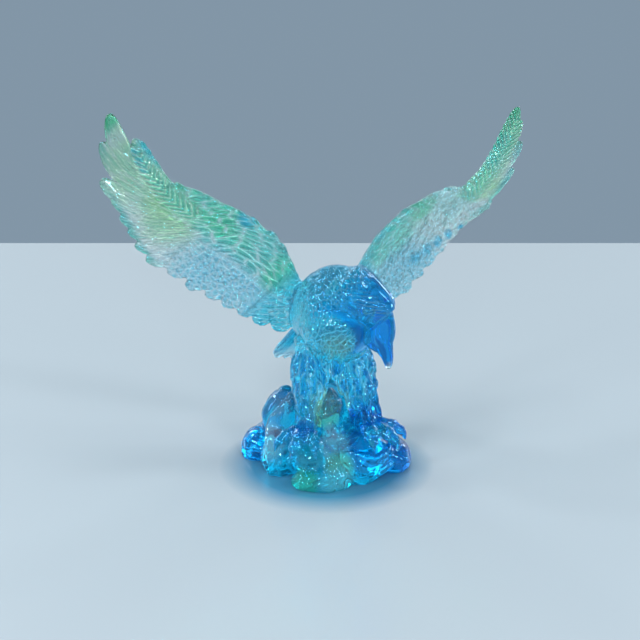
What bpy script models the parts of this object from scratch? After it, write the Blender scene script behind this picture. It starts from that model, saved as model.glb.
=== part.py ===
"""Crystal eagle statue: an eagle with raised wings on a craggy rock, cast in one piece of tinted crystal.

Metres, +Z up. The origin is the middle of the rock's flat underside. The eagle looks along -Y and
a little towards +X. Its own right wing is on the -X side.
"""
import math
import random

import bmesh
import bpy
from mathutils import Matrix, Vector

# Driving sizes in metres
ROCK_WIDTH = 0.083
ROCK_DEPTH = 0.078
ROCK_HEIGHT = 0.043
LEG_LENGTH = 0.0344
LEG_THICKNESS = 0.010
TOE_LENGTH = 0.015
BODY_LENGTH = 0.060
HEAD_LENGTH = 0.041
BEAK_DEPTH = 0.0125
TAIL_LENGTH = 0.039
TAIL_WIDTH = 0.031
WING_LENGTH = 0.117
WING_THICKNESS = 0.0075
FEATHER_THICKNESS = 0.0022
LOCK_LENGTH = 0.013

# Pose in degrees: how far each part turns towards +X from facing -Y, and dips below level
BODY_TURN = 20
HEAD_TURN = 62
HEAD_DIP = 42
TAIL_DIP = 48

# Boulders of the rock: centre and half size as shares of ROCK_WIDTH, ROCK_DEPTH and ROCK_HEIGHT, and
# the number of corners that each is hewn with
BOULDERS = [
    ((-0.37, 0.03, 0.10), (0.135, 0.15, 0.28), 26),
    ((-0.345, 0.17, 0.06), (0.12, 0.15, 0.22), 20),
    ((-0.255, 0.06, 0.48), (0.13, 0.14, 0.34), 26),
    ((-0.26, -0.17, 0.16), (0.12, 0.15, 0.34), 20),
    ((-0.19, -0.10, 0.50), (0.09, 0.09, 0.38), 18),
    ((-0.02, -0.37, 0.05), (0.215, 0.145, 0.20), 24),
    ((-0.09, -0.29, 0.27), (0.13, 0.14, 0.24), 24),
    ((0.01, -0.10, 0.48), (0.10, 0.12, 0.50), 20),
    ((0.20, -0.26, 0.22), (0.18, 0.18, 0.31), 26),
    ((0.22, -0.10, 0.40), (0.10, 0.12, 0.26), 20),
    ((0.385, -0.12, 0.11), (0.115, 0.18, 0.23), 26),
    ((0.26, 0.03, 0.35), (0.08, 0.13, 0.26), 20),
    ((0.205, 0.12, 0.57), (0.085, 0.12, 0.30), 22),
    ((0.00, 0.22, 0.34), (0.24, 0.25, 0.50), 28),
    ((-0.21, 0.30, 0.18), (0.18, 0.18, 0.34), 24),
    ((0.21, 0.28, 0.14), (0.16, 0.18, 0.30), 24),
    ((0.00, 0.00, 0.10), (0.37, 0.37, 0.34), 28),
]
BOULDER_ROUGHNESS = 0.13
# Folds that flow over the boulders: points as shares of the rock's size, the direction their width lies
# along, and half width and half thickness as shares of ROCK_WIDTH
FOLDS = [
    ([(-0.195, -0.08, 0.84), (-0.234, -0.125, 0.69), (-0.285, -0.14, 0.50), (-0.307, -0.235, 0.34),
      (-0.308, -0.27, 0.08)], (1, 0, 0), 0.060, 0.027),
    ([(-0.017, -0.10, 0.82), (-0.014, -0.18, 0.70), (0.009, -0.195, 0.55), (0.026, -0.25, 0.36),
      (0.036, -0.40, 0.22), (0.075, -0.445, 0.10)], (1, 0, 0), 0.051, 0.031),
    ([(0.083, -0.115, 0.545), (0.105, -0.255, 0.43), (0.17, -0.38, 0.365), (0.265, -0.375, 0.30),
      (0.345, -0.295, 0.345), (0.375, -0.20, 0.44)], (0, 0, 1), 0.024, 0.024),
    ([(0.066, -0.17, 0.45), (0.092, -0.365, 0.35), (0.186, -0.415, 0.19), (0.301, -0.345, 0.10),
      (0.388, -0.26, 0.167)], (0, 0, 1), 0.022, 0.022),
]
ROCK_SEED = 7

# Where the feet stand on the rock as shares of its size, how thick each leg is in leg thicknesses, and
# how far its middle toe turns from the body's heading
RIGHT_LEG = {"foot": (-0.115, -0.27, 0.52), "girth": 0.95, "hip": -0.14, "turn": -40}
LEFT_LEG = {"foot": (0.235, -0.23, 0.56), "girth": 1.25, "hip": 0.12, "turn": 25}
LEG_TAPER = [(0.0, 1.45), (0.25, 1.45), (0.45, 1.25), (0.62, 1.05), (0.80, 0.92), (0.96, 0.95)]
# Each toe's turn from the middle one and its share of TOE_LENGTH
TOES = [(-38, 0.9), (0, 1.0), (36, 0.9), (178, 0.6)]
# A toe and its claw: how far out, how high and how thick, as shares of its length
TOE_SHAPE = [(0.0, 0.02, 0.30), (0.45, 0.10, 0.26), (0.80, 0.02, 0.22), (1.02, -0.12, 0.14), (1.12, -0.36, 0.03)]

# The body to the nape, and the belly: forward, up, half width and half height, as shares of BODY_LENGTH
BODY_STATIONS = [
    (-0.43, 0.06, 0.09, 0.07),
    (-0.30, 0.13, 0.19, 0.15),
    (-0.12, 0.24, 0.26, 0.24),
    (0.06, 0.34, 0.29, 0.30),
    (0.18, 0.44, 0.30, 0.30),
    (0.26, 0.51, 0.28, 0.275),
    (0.31, 0.55, 0.24, 0.24),
    (0.35, 0.58, 0.17, 0.17),
]
BELLY_STATIONS = [
    (0.16, 0.42, 0.27, 0.33),
    (0.19, 0.30, 0.285, 0.34),
    (0.17, 0.20, 0.26, 0.28),
    (0.13, 0.11, 0.20, 0.18),
    (0.11, 0.05, 0.10, 0.09),
]

# The head in its own frame: forward, up, half width and half height, as shares of HEAD_LENGTH
SKULL_PLACE = (0.42, 0.13, 0.56)
SKULL_STATIONS = [
    (-0.34, -0.10, 0.20, 0.20),
    (-0.22, -0.08, 0.29, 0.30),
    (-0.08, -0.03, 0.285, 0.30),
    (0.06, 0.00, 0.24, 0.275),
    (0.19, 0.01, 0.18, 0.25),
    (0.30, 0.00, 0.135, 0.20),
]
# The beak's halves: forward, up and half width as shares of HEAD_LENGTH, half height as one of BEAK_DEPTH
UPPER_BEAK = [
    (0.24, 0.03, 0.120, 0.50),
    (0.37, -0.07, 0.110, 0.52),
    (0.47, -0.175, 0.095, 0.47),
    (0.56, -0.225, 0.080, 0.345),
    (0.64, -0.265, 0.062, 0.24),
    (0.70, -0.31, 0.048, 0.175),
    (0.735, -0.345, 0.034, 0.115),
    (0.752, -0.366, 0.012, 0.04),
]
LOWER_BEAK = [
    (0.16, -0.20, 0.12, 0.34),
    (0.30, -0.25, 0.105, 0.32),
    (0.42, -0.285, 0.085, 0.26),
    (0.53, -0.29, 0.05, 0.14),
]
# The ridge over each eye: forward, up, outward and radius
BROW = [
    (-0.04, 0.03, 0.22, 0.03),
    (0.08, 0.115, 0.20, 0.045),
    (0.19, 0.165, 0.14, 0.045),
    (0.28, 0.165, 0.08, 0.03),
]
EYE = (0.13, 0.06, 0.20)
EYE_RADIUS = 0.065

# Locks of plumage in rows on the belly and legs: how far down the roots lie, the angles that the row
# spans, in degrees from the left side over the front, and the count
BELLY_LOCKS = [(0.25, 10, 170, 6)]
LEG_LOCKS = [(0.16, -60, 240, 8), (0.42, -60, 240, 7)]
LOCK_WIDTH = 0.68

# Each wing: its shoulder in the body's frame as shares of BODY_LENGTH; the directions of the span and
# of the chord, which runs back from the leading edge; and its plan, as shares of WING_LENGTH along the
# span and the chord. The plan has the bones from shoulder to hand, the tips of the flight feathers
# from the hand to the body, the root and tip of the feather over the hand, and the tips of the short
# feathers that step along the leading edge. The under side faces `front` times span x chord.
RIGHT_WING = {
    "shoulder": (-0.143, -0.247, 0.488),
    "span": Vector((-0.647, 0.0, 0.740)),
    "chord": Vector((-0.748, 0.150, -0.764)),
    "front": 1,
    "bones": [(0.00, 0.02), (0.14, -0.03), (0.30, -0.028), (0.44, 0.02), (0.56, 0.07)],
    "tips": [
        (1.000, 0.030), (0.950, 0.135), (0.845, 0.243), (0.768, 0.267), (0.693, 0.293), (0.628, 0.314),
        (0.568, 0.335), (0.496, 0.343), (0.400, 0.316), (0.304, 0.305), (0.212, 0.280), (0.134, 0.258),
        (0.060, 0.238), (-0.020, 0.215), (-0.115, 0.170)],
    "hand": [(0.47, 0.085), (0.865, 0.030)],
    "edge": [(0.185, -0.075), (0.331, -0.064), (0.480, -0.002), (0.632, 0.062)],
}
LEFT_WING = {
    "shoulder": (-0.055, 0.287, 0.517),
    "span": Vector((0.624, 0.520, 0.583)),
    "chord": Vector((0.439, 0.575, -0.690)),
    "front": -1,
    "bones": [(0.00, 0.065), (0.14, 0.000), (0.28, -0.004), (0.42, 0.058), (0.56, 0.190)],
    "tips": [
        (1.005, 0.000), (0.990, 0.090), (0.945, 0.200), (0.848, 0.292), (0.770, 0.312), (0.680, 0.340),
        (0.620, 0.328), (0.560, 0.316), (0.480, 0.312), (0.395, 0.316), (0.315, 0.316), (0.235, 0.316),
        (0.148, 0.322), (0.090, 0.290), (0.025, 0.245)],
    "hand": [(0.48, 0.205), (0.850, 0.140)],
    "edge": [(0.160, -0.037), (0.290, -0.036), (0.425, 0.020), (0.600, 0.170)],
}
WING_CUP = 0.035
TIP_BEND = 0.07
FEATHER_WIDTH = 0.100
EDGE_FEATHER_RUN = Vector((0.13, -0.075))
# How far the first and the last flight feather bow back, as shares of their length
FIRST_BOW = 0.15
LAST_BOW = 0.03
# Rows of covering feathers: how far behind the bones they root and how long they are, as shares of
# WING_LENGTH; how far they turn from the bones towards the flight feathers at the shoulder; their
# thickness and width in feather thicknesses and widths; and the count
COVERT_ROWS = [(0.030, 0.20, 0.30, 1.5, 0.65, 8), (-0.015, 0.17, 0.05, 2.0, 0.62, 7)]
COVERT_TURN_AT_HAND = 0.9

# Outlines of feathers: share of the length and share of the width
LONG_FEATHER = [(0.0, 0.60), (0.33, 1.0), (0.66, 1.0), (0.90, 0.80), (1.0, 0.40)]
SHORT_FEATHER = [(0.0, 0.65), (0.45, 1.0), (0.84, 0.88), (1.0, 0.42)]
LOCK = [(0.0, 0.6), (0.55, 1.0), (1.0, 0.25)]
FEATHER_TILT = 0.10
# Cross sections of feathers, in half widths and half thicknesses: with blunt and with sharp edges
BLUNT_SECTION = [(-1, -0.42), (0, -1), (1, -0.42), (1, 0.42), (0, 1), (-1, 0.42)]
SHARP_SECTION = [(-1, 0), (0, -1), (1, 0), (0, 1)]

TAIL_FEATHERS = 6
STATION_STEPS = 2
TUBE_SIDES = 12
# Shorter edges, mostly slivers where two lumps meet, are merged
SHORTEST_EDGE = 0.0008
# Nearer than this to z = 0 is on the underside
FLAT_GAP = 1e-7
# The least cosine of the angle that a merge may turn a face by
LEAST_TURN = 0.3
CRYSTAL_COLOUR = (0.10, 0.52, 0.80, 1.0)


class Frame:
    """A place with its own forward, left and up directions."""

    def __init__(self, origin, turn, dip=0.0):
        turn = math.radians(turn)
        dip = math.radians(dip)
        level = math.cos(dip)
        self.origin = Vector(origin)
        self.forward = Vector((math.sin(turn) * level, -math.cos(turn) * level, -math.sin(dip)))
        self.left = Vector((math.cos(turn), math.sin(turn), 0.0))
        self.up = self.forward.cross(self.left)

    def at(self, forward, left, up):
        return self.origin + self.forward * forward + self.left * left + self.up * up


def blend(a, b, c, d, t):
    """A smooth curve from b to c that heads as its neighbours a and d make it."""
    return 0.5 * (2 * b + (c - a) * t + (2 * a - 5 * b + 4 * c - d) * t**2 + (3 * b - 3 * c + d - a) * t**3)


def smooth(rows, steps):
    """Rows of numbers, with more rows in each gap, on a smooth curve through them all."""
    padded = [rows[0]] + list(rows) + [rows[-1]]
    out = []
    for i in range(len(rows) - 1):
        for step in range(steps):
            out.append(tuple(blend(a, b, c, d, step / steps) for a, b, c, d in zip(*padded[i:i + 4])))
    out.append(tuple(rows[-1]))
    return out


def along(rows, share):
    """The point at a share of the way along a list of points."""
    place = max(0.0, min(share, 1.0)) * (len(rows) - 1)
    i = min(int(place), len(rows) - 2)
    return Vector(rows[i]).lerp(Vector(rows[i + 1]), place - i)


def closed_object(bm, name):
    """The bmesh as an object of triangles with its faces pointing out."""
    bmesh.ops.triangulate(bm, faces=bm.faces[:])
    bmesh.ops.recalc_face_normals(bm, faces=bm.faces[:])
    mesh = bpy.data.meshes.new(name)
    bm.to_mesh(mesh)
    bm.free()
    obj = bpy.data.objects.new(name, mesh)
    bpy.context.scene.collection.objects.link(obj)
    return obj


def loft(name, rings):
    """A closed body through rings of points."""
    bm = bmesh.new()
    loops = [[bm.verts.new(point) for point in ring] for ring in rings]
    count = len(rings[0])
    for one, two in zip(loops, loops[1:]):
        for i in range(count):
            j = (i + 1) % count
            bm.faces.new((one[i], one[j], two[j], two[i]))
    bm.faces.new(list(reversed(loops[0])))
    bm.faces.new(loops[-1])
    return closed_object(bm, name)


class Tube:
    """A body swept through stations of a centre, a half width along `side`, and a half height."""

    def __init__(self, stations, side):
        self.sections = []
        self.marks = [0.0]
        for i, (centre, wide, high) in enumerate(stations):
            ahead = stations[min(i + 1, len(stations) - 1)][0]
            behind = stations[max(i - 1, 0)][0]
            travel = (ahead - behind).normalized()
            up = travel.cross(side).normalized()
            self.sections.append((centre, up.cross(travel) * wide, up * high))
            if i:
                self.marks.append(self.marks[-1] + (centre - stations[i - 1][0]).length)
        self.length = self.marks[-1]
        self.radius = max(station[1] for station in stations)

    def point(self, distance, angle, height=0.0):
        """A point over the skin, at a distance along the middle line and an angle around it."""
        i = max(k for k, mark in enumerate(self.marks[:-1]) if mark <= max(distance, 0.0))
        share = (distance - self.marks[i]) / (self.marks[i + 1] - self.marks[i])
        centre, wide, high = (a.lerp(b, share) for a, b in zip(self.sections[i], self.sections[i + 1]))
        out = wide * math.cos(angle) + high * math.sin(angle)
        return centre + out + out.normalized() * height

    def build(self, name, sides=TUBE_SIDES):
        angles = [2 * math.pi * (k + 0.5) / sides for k in range(sides)]
        rings = [[c + w * math.cos(a) + h * math.sin(a) for a in angles] for c, w, h in self.sections]
        return loft(name, rings)

    def build_locks(self, rows):
        """Rows of locks that hang along the body."""
        def place(plan, height):
            return self.point(plan.x, plan.y / self.radius, height)

        for start, first, last, count in rows:
            for i in range(count):
                angle = math.radians(first + (last - first) * i / (count - 1))
                lock(place, Vector((start * self.length, angle * self.radius)))


def framed_tube(frame, rows, size, depth=None, steps=STATION_STEPS):
    """A tube from rows of forward, up, half width and half height in a frame."""
    depth = depth or size
    stations = []
    for forward, up, wide, high in smooth(rows, steps):
        stations.append((frame.at(forward * size, 0.0, up * size), wide * size, high * depth))
    return Tube(stations, frame.left)


def boulder(centre, half_size, corners, rng):
    """A hewn lump of rock: the hull of uneven points spread over an ellipsoid."""
    bm = bmesh.new()
    golden = math.pi * (3 - math.sqrt(5))
    start = rng.uniform(0, math.tau)
    for i in range(corners):
        height = 1 - 2 * (i + 0.5) / corners
        ring = math.sqrt(1 - height**2)
        turn = golden * i + start
        point = Vector((math.cos(turn) * ring, math.sin(turn) * ring, height))
        point *= 1 + rng.uniform(-BOULDER_ROUGHNESS, BOULDER_ROUGHNESS)
        bm.verts.new(centre + half_size * point)
    hull = bmesh.ops.convex_hull(bm, input=bm.verts)
    bmesh.ops.delete(bm, geom=hull["geom_interior"], context="VERTS")
    return closed_object(bm, "boulder")


def blade(name, place, root, tip, width, thickness, outline, section, lift=(0.0, 0.0), tilt=0.0, bow=0.0):
    """A feather with a raised shaft on each face, from root to tip in the plan that `place` bends."""
    run = tip - root
    side = Vector((-run.y, run.x))
    rings = []
    for share, breadth in outline:
        middle = root + run * share + side * bow * 4 * share * (1 - share)
        heading = (run + side * bow * 4 * (1 - 2 * share)).normalized()
        across = Vector((-heading.y, heading.x)) * width * breadth / 2
        high = thickness / 2 * (1.0 if share < 0.95 else 0.7)
        rise = tilt * width * breadth / 2
        level = lift[0] + (lift[1] - lift[0]) * share
        rings.append([place(middle + across * out, level + high * up + rise * out) for out, up in section])
    return loft(name, rings)


def lock(place, root):
    """A lock of plumage with a raised tip."""
    lift = (-0.3 * FEATHER_THICKNESS, 0.3 * FEATHER_THICKNESS)
    blade("lock", place, root, root + Vector((LOCK_LENGTH, 0.0)), LOCK_LENGTH * LOCK_WIDTH,
          FEATHER_THICKNESS * 1.3, LOCK, SHARP_SECTION, lift=lift)


class Wing:
    """A raised wing: a cupped surface that bends at its tip, with bones, flight feathers and coverts."""

    def __init__(self, name, body, plan):
        self.name = name
        self.shoulder = body.at(*(Vector(plan["shoulder"]) * BODY_LENGTH))
        forward, left, up = plan["shoulder"]
        self.root = body.at(0.05 * BODY_LENGTH, 0.35 * left * BODY_LENGTH, 0.70 * up * BODY_LENGTH)
        self.span = plan["span"]
        self.chord = plan["chord"]
        self.normal = self.span.cross(self.chord).normalized() * plan["front"]
        self.bones, self.tips, self.hand, self.edge = (
            [Vector(point) * WING_LENGTH for point in plan[key]] for key in ("bones", "tips", "hand", "edge"))

    def place(self, plan, height):
        """The point over a place in the plan, at a height towards the wing's under side."""
        out = plan.x / WING_LENGTH
        back = plan.y / WING_LENGTH
        cup = WING_CUP * (1 - ((back - 0.12) / 0.24) ** 2)
        bend = TIP_BEND * (max(0.0, out - 0.45) / 0.55) ** 2
        rise = height + WING_LENGTH * (bend - cup)
        return self.shoulder + self.span * plan.x + self.chord * plan.y + self.normal * rise

    def feather(self, root, tip, width, thickness, outline, section, **shape):
        blade(self.name, self.place, root, tip, width * WING_LENGTH * FEATHER_WIDTH,
              thickness * FEATHER_THICKNESS, outline, section, **shape)

    def build(self):
        self.build_bones()
        self.build_flight_feathers()
        self.build_coverts()
        self.build_leading_edge()

    def build_bones(self):
        """The thick leading edge, from inside the breast to the hand."""
        rows = smooth([tuple(point) for point in self.bones], STATION_STEPS)
        stations = [(self.root, WING_THICKNESS * 0.9, WING_THICKNESS * 1.1)]
        for i, row in enumerate(rows):
            thick = WING_THICKNESS * (1 - 0.72 * i / (len(rows) - 1))
            stations.append((self.place(Vector(row), 0.0), thick * 0.5, WING_THICKNESS * 0.35 + thick * 0.6))
        Tube(stations, self.normal).build(self.name, sides=8)

    def build_flight_feathers(self):
        for i, tip in enumerate(self.tips):
            share = i / (len(self.tips) - 1)
            root = along(self.bones, 1 - share) + Vector((0.0, 0.03 * WING_LENGTH))
            bow = FIRST_BOW + (LAST_BOW - FIRST_BOW) * share
            self.feather(root, tip, 1.0, 1.0, LONG_FEATHER, BLUNT_SECTION, tilt=FEATHER_TILT, bow=bow)

    def build_coverts(self):
        """Rows of feathers that lie along the bones and turn to the flight feathers near the hand."""
        for back, length, turn, thick, width, count in COVERT_ROWS:
            for i in range(count):
                share = (i + 0.5) / count
                bone = along(self.bones, share)
                run = (along(self.bones, share + 0.05) - along(self.bones, share - 0.05)).normalized()
                flight = (along(self.tips, 1 - share) - bone).normalized()
                heading = run.lerp(flight, turn + (COVERT_TURN_AT_HAND - turn) * share**2).normalized()
                root = bone + Vector((-run.y, run.x)) * back * WING_LENGTH
                tip = root + heading * length * WING_LENGTH
                self.feather(root, tip, width, thick, SHORT_FEATHER, SHARP_SECTION, tilt=FEATHER_TILT)

    def build_leading_edge(self):
        """The feather over the hand and the short ones that step along the bones."""
        lift = FEATHER_THICKNESS * 0.5
        self.feather(*self.hand, 0.85, 1.3, LONG_FEATHER, BLUNT_SECTION, lift=(lift, lift), bow=0.10)
        for tip in self.edge:
            self.feather(tip - EDGE_FEATHER_RUN * WING_LENGTH, tip, 0.85, 1.9, SHORT_FEATHER, SHARP_SECTION)


def build_rock(size):
    rng = random.Random(ROCK_SEED)
    for centre, half, corners in BOULDERS:
        boulder(Vector(centre) * size, Vector(half) * size, corners, rng)
    for points, side, wide, high in FOLDS:
        stations = []
        for i, row in enumerate(points):
            taper = 0.35 + 0.65 * math.sin(math.pi * i / (len(points) - 1))
            stations.append((Vector(row) * size, wide * taper * ROCK_WIDTH, high * taper * ROCK_WIDTH))
        Tube(stations, Vector(side)).build("fold", sides=8)


def build_body(body):
    framed_tube(body, BODY_STATIONS, BODY_LENGTH).build("trunk", sides=14)
    belly = framed_tube(body, BELLY_STATIONS, BODY_LENGTH)
    belly.build("belly")
    belly.build_locks(BELLY_LOCKS)


def build_head(body):
    head = Frame(body.at(*(Vector(SKULL_PLACE) * BODY_LENGTH)), HEAD_TURN, HEAD_DIP)
    framed_tube(head, SKULL_STATIONS, HEAD_LENGTH).build("skull", sides=14)
    framed_tube(head, UPPER_BEAK, HEAD_LENGTH, BEAK_DEPTH).build("upper_beak", sides=10)
    framed_tube(head, LOWER_BEAK, HEAD_LENGTH, BEAK_DEPTH, steps=1).build("lower_beak", sides=8)
    for side in (-1, 1):
        ridge = []
        for forward, up, out, radius in smooth(BROW, STATION_STEPS):
            centre = head.at(forward * HEAD_LENGTH, side * out * HEAD_LENGTH, up * HEAD_LENGTH)
            ridge.append((centre, radius * HEAD_LENGTH, radius * HEAD_LENGTH))
        Tube(ridge, head.left).build("brow", sides=6)
        forward, up, out = EYE
        eye = head.at(forward * HEAD_LENGTH, side * out * HEAD_LENGTH, up * HEAD_LENGTH)
        ball = bmesh.new()
        bmesh.ops.create_icosphere(ball, subdivisions=1, radius=EYE_RADIUS * HEAD_LENGTH,
                                   matrix=Matrix.Translation(eye))
        closed_object(ball, "eye")


def build_tail(body):
    """A fan of feathers that slopes down and back from the rump."""
    rump = body.at(-0.30 * BODY_LENGTH, 0.0, 0.12 * BODY_LENGTH)
    dip = math.radians(TAIL_DIP)
    back = -body.forward * math.cos(dip) - body.up * math.sin(dip)
    above = body.left.cross(back)

    def place(plan, height):
        return rump + back * plan.x + body.left * plan.y + above * height

    width = TAIL_WIDTH * 1.5 / TAIL_FEATHERS
    for i in range(TAIL_FEATHERS):
        spread = 2 * i / (TAIL_FEATHERS - 1) - 1
        tip = Vector((TAIL_LENGTH * (1 - 0.10 * spread**2), (TAIL_WIDTH - width) / 2 * spread))
        root = Vector((0.0, tip.y * 0.35))
        blade("tail", place, root, tip, width, FEATHER_THICKNESS * 2.2, LONG_FEATHER, BLUNT_SECTION)


def build_leg(body, plan, rock):
    """A feathered leg from the hip to the rock, with three toes in front, one behind, and claws."""
    foot = Vector(plan["foot"]) * rock
    hip = body.at(-0.02 * BODY_LENGTH, plan["hip"] * BODY_LENGTH, 0.12 * BODY_LENGTH)
    thick = LEG_THICKNESS * plan["girth"]
    stations = []
    for share, wide in LEG_TAPER:
        knee = body.forward * LEG_THICKNESS * 0.25 * math.sin(math.pi * share)
        stations.append((hip.lerp(foot, share) + knee, thick * wide / 2, LEG_THICKNESS * wide / 2))
    leg = Tube(stations, body.left)
    leg.build("leg", sides=10)
    leg.build_locks(LEG_LOCKS)
    for spread, share in TOES:
        heading = Frame(foot, BODY_TURN + plan["turn"] + spread)
        rings = []
        for out, up, radius in TOE_SHAPE:
            centre = heading.at(out * share * TOE_LENGTH + thick * 0.2, 0.0, up * TOE_LENGTH)
            rings.append((centre, radius * TOE_LENGTH, radius * TOE_LENGTH * 0.9))
        Tube(rings, heading.left).build("toe", sides=7)


def fuse(name):
    """Everything made so far as one solid that stands on z = 0."""
    lumps = list(bpy.context.scene.objects)
    others = bpy.data.collections.new("other_lumps")
    for obj in lumps[1:]:
        others.objects.link(obj)
    union = lumps[0].modifiers.new("union", "BOOLEAN")
    union.operation = "UNION"
    union.operand_type = "COLLECTION"
    union.collection = others
    view = lumps[0].evaluated_get(bpy.context.evaluated_depsgraph_get())
    bm = bmesh.new()
    bm.from_mesh(view.to_mesh())
    for obj in lumps:
        bpy.data.objects.remove(obj)
    bpy.data.collections.remove(others)
    cut_flat_below(bm)
    keep_outer_shell(bm)
    bmesh.ops.triangulate(bm, faces=bm.faces[:])
    while merge_short_edges(bm):
        bm.normal_update()
    return closed_object(bm, name)


def cut_flat_below(bm):
    """The body ends in a flat face at z = 0."""
    cut = bmesh.ops.bisect_plane(bm, geom=bm.verts[:] + bm.edges[:] + bm.faces[:], plane_co=(0, 0, 0),
                                 plane_no=(0, 0, 1), clear_inner=True, dist=FLAT_GAP)
    bmesh.ops.holes_fill(bm, edges=[item for item in cut["geom_cut"] if isinstance(item, bmesh.types.BMEdge)])


def keep_outer_shell(bm):
    """The hollows that the fused lumps enclose are filled: only the largest connected shell stays."""
    left = set(bm.verts)
    shells = []
    while left:
        queue = [left.pop()]
        shell = set(queue)
        while queue:
            for edge in queue.pop().link_edges:
                fresh = set(edge.verts) - shell
                shell |= fresh
                queue.extend(fresh)
        left -= shell
        shells.append(shell)
    outer = max(shells, key=len)
    bmesh.ops.delete(bm, geom=[vert for vert in bm.verts if vert not in outer], context="VERTS")


def merge_short_edges(bm):
    """One pass over the short edges, no two of them close together. True if any could be merged."""
    short = [edge for edge in bm.edges if edge.calc_length() < SHORTEST_EDGE]
    taken = set()
    merged = {}
    for edge in sorted(short, key=bmesh.types.BMEdge.calc_length):
        gone, kept = sorted(edge.verts, key=lambda vert: -vert.co.z)
        rings = [{link.other_vert(vert) for link in vert.link_edges} for vert in (gone, kept)]
        goal = kept.co.copy() if kept.co.z < FLAT_GAP else (gone.co + kept.co) / 2
        stays_closed = len(rings[0] & rings[1]) == 2
        if taken & (rings[0] | rings[1]) or not stays_closed:
            continue
        if folds_over(gone, kept, goal) or folds_over(kept, gone, goal):
            continue
        taken |= rings[0] | rings[1]
        merged[gone] = kept
        kept.co = goal
    bmesh.ops.weld_verts(bm, targetmap=merged)
    return bool(merged)


def folds_over(vert, other, goal):
    """True if a face of vert, but not of other, would turn far round as vert moves to goal."""
    for face in vert.link_faces:
        if other not in face.verts:
            a, b, c = (goal if corner is vert else corner.co for corner in face.verts)
            normal = (b - a).cross(c - a)
            if normal.dot(face.normal) < LEAST_TURN * normal.length:
                return True
    return False


def crystal():
    material = bpy.data.materials.new("tinted_crystal")
    material.use_nodes = True
    shader = material.node_tree.nodes["Principled BSDF"]
    shader.inputs["Base Color"].default_value = CRYSTAL_COLOUR
    shader.inputs["Roughness"].default_value = 0.08
    shader.inputs["Metallic"].default_value = 0.0
    shader.inputs["Transmission Weight"].default_value = 0.9
    return material


def build():
    for obj in list(bpy.data.objects):
        bpy.data.objects.remove(obj)
    rock = Vector((ROCK_WIDTH, ROCK_DEPTH, ROCK_HEIGHT))
    stand = (Vector(RIGHT_LEG["foot"]) + Vector(LEFT_LEG["foot"])) / 2 * rock
    body = Frame(stand + Vector((-0.055 * ROCK_WIDTH, 0.195 * ROCK_DEPTH, LEG_LENGTH)), BODY_TURN)
    build_rock(rock)
    build_body(body)
    build_head(body)
    build_tail(body)
    build_leg(body, RIGHT_LEG, rock)
    build_leg(body, LEFT_LEG, rock)
    Wing("right_wing", body, RIGHT_WING).build()
    Wing("left_wing", body, LEFT_WING).build()
    eagle = fuse("crystal_eagle")
    eagle.data.materials.append(crystal())
    eagle.data.set_sharp_from_angle(angle=math.radians(28))


build()
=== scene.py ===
"""Looks of the crystal eagle statue: one casting of clear crystal, blue below and green along the wings.

Metres, +Z up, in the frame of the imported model. The eagle's form repeats the model's sizes with smooth
surfaces, carved feathers, plumage, a face, claws and air bubbles, and is fused into one closed skin.
"""

import math
import random

import bmesh
import bpy
import numpy as np
from mathutils import Matrix, Vector, kdtree, noise


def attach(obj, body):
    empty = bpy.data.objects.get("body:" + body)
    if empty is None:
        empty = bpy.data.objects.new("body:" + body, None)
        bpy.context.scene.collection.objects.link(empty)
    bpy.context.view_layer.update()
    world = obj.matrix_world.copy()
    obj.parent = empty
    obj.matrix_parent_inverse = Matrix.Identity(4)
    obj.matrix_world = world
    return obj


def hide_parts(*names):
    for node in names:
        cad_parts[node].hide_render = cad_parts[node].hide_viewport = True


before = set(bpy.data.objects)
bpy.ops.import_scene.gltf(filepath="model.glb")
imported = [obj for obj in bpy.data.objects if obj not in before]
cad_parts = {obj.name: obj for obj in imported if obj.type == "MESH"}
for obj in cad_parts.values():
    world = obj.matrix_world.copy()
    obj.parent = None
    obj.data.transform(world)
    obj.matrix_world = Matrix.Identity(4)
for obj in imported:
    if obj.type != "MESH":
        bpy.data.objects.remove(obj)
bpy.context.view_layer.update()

# Sizes in metres, as the model has them
ROCK_WIDTH = 0.083
ROCK_DEPTH = 0.078
ROCK_HEIGHT = 0.043
LEG_LENGTH = 0.0344
LEG_THICKNESS = 0.010
TOE_LENGTH = 0.015
BODY_LENGTH = 0.060
HEAD_LENGTH = 0.041
BEAK_DEPTH = 0.0125
TAIL_LENGTH = 0.039
TAIL_WIDTH = 0.031
WING_LENGTH = 0.117
WING_THICKNESS = 0.0075
FEATHER_THICKNESS = 0.0022
LOCK_LENGTH = 0.013

# Pose in degrees
BODY_TURN = 20
HEAD_TURN = 62
HEAD_DIP = 42
TAIL_DIP = 48

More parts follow.
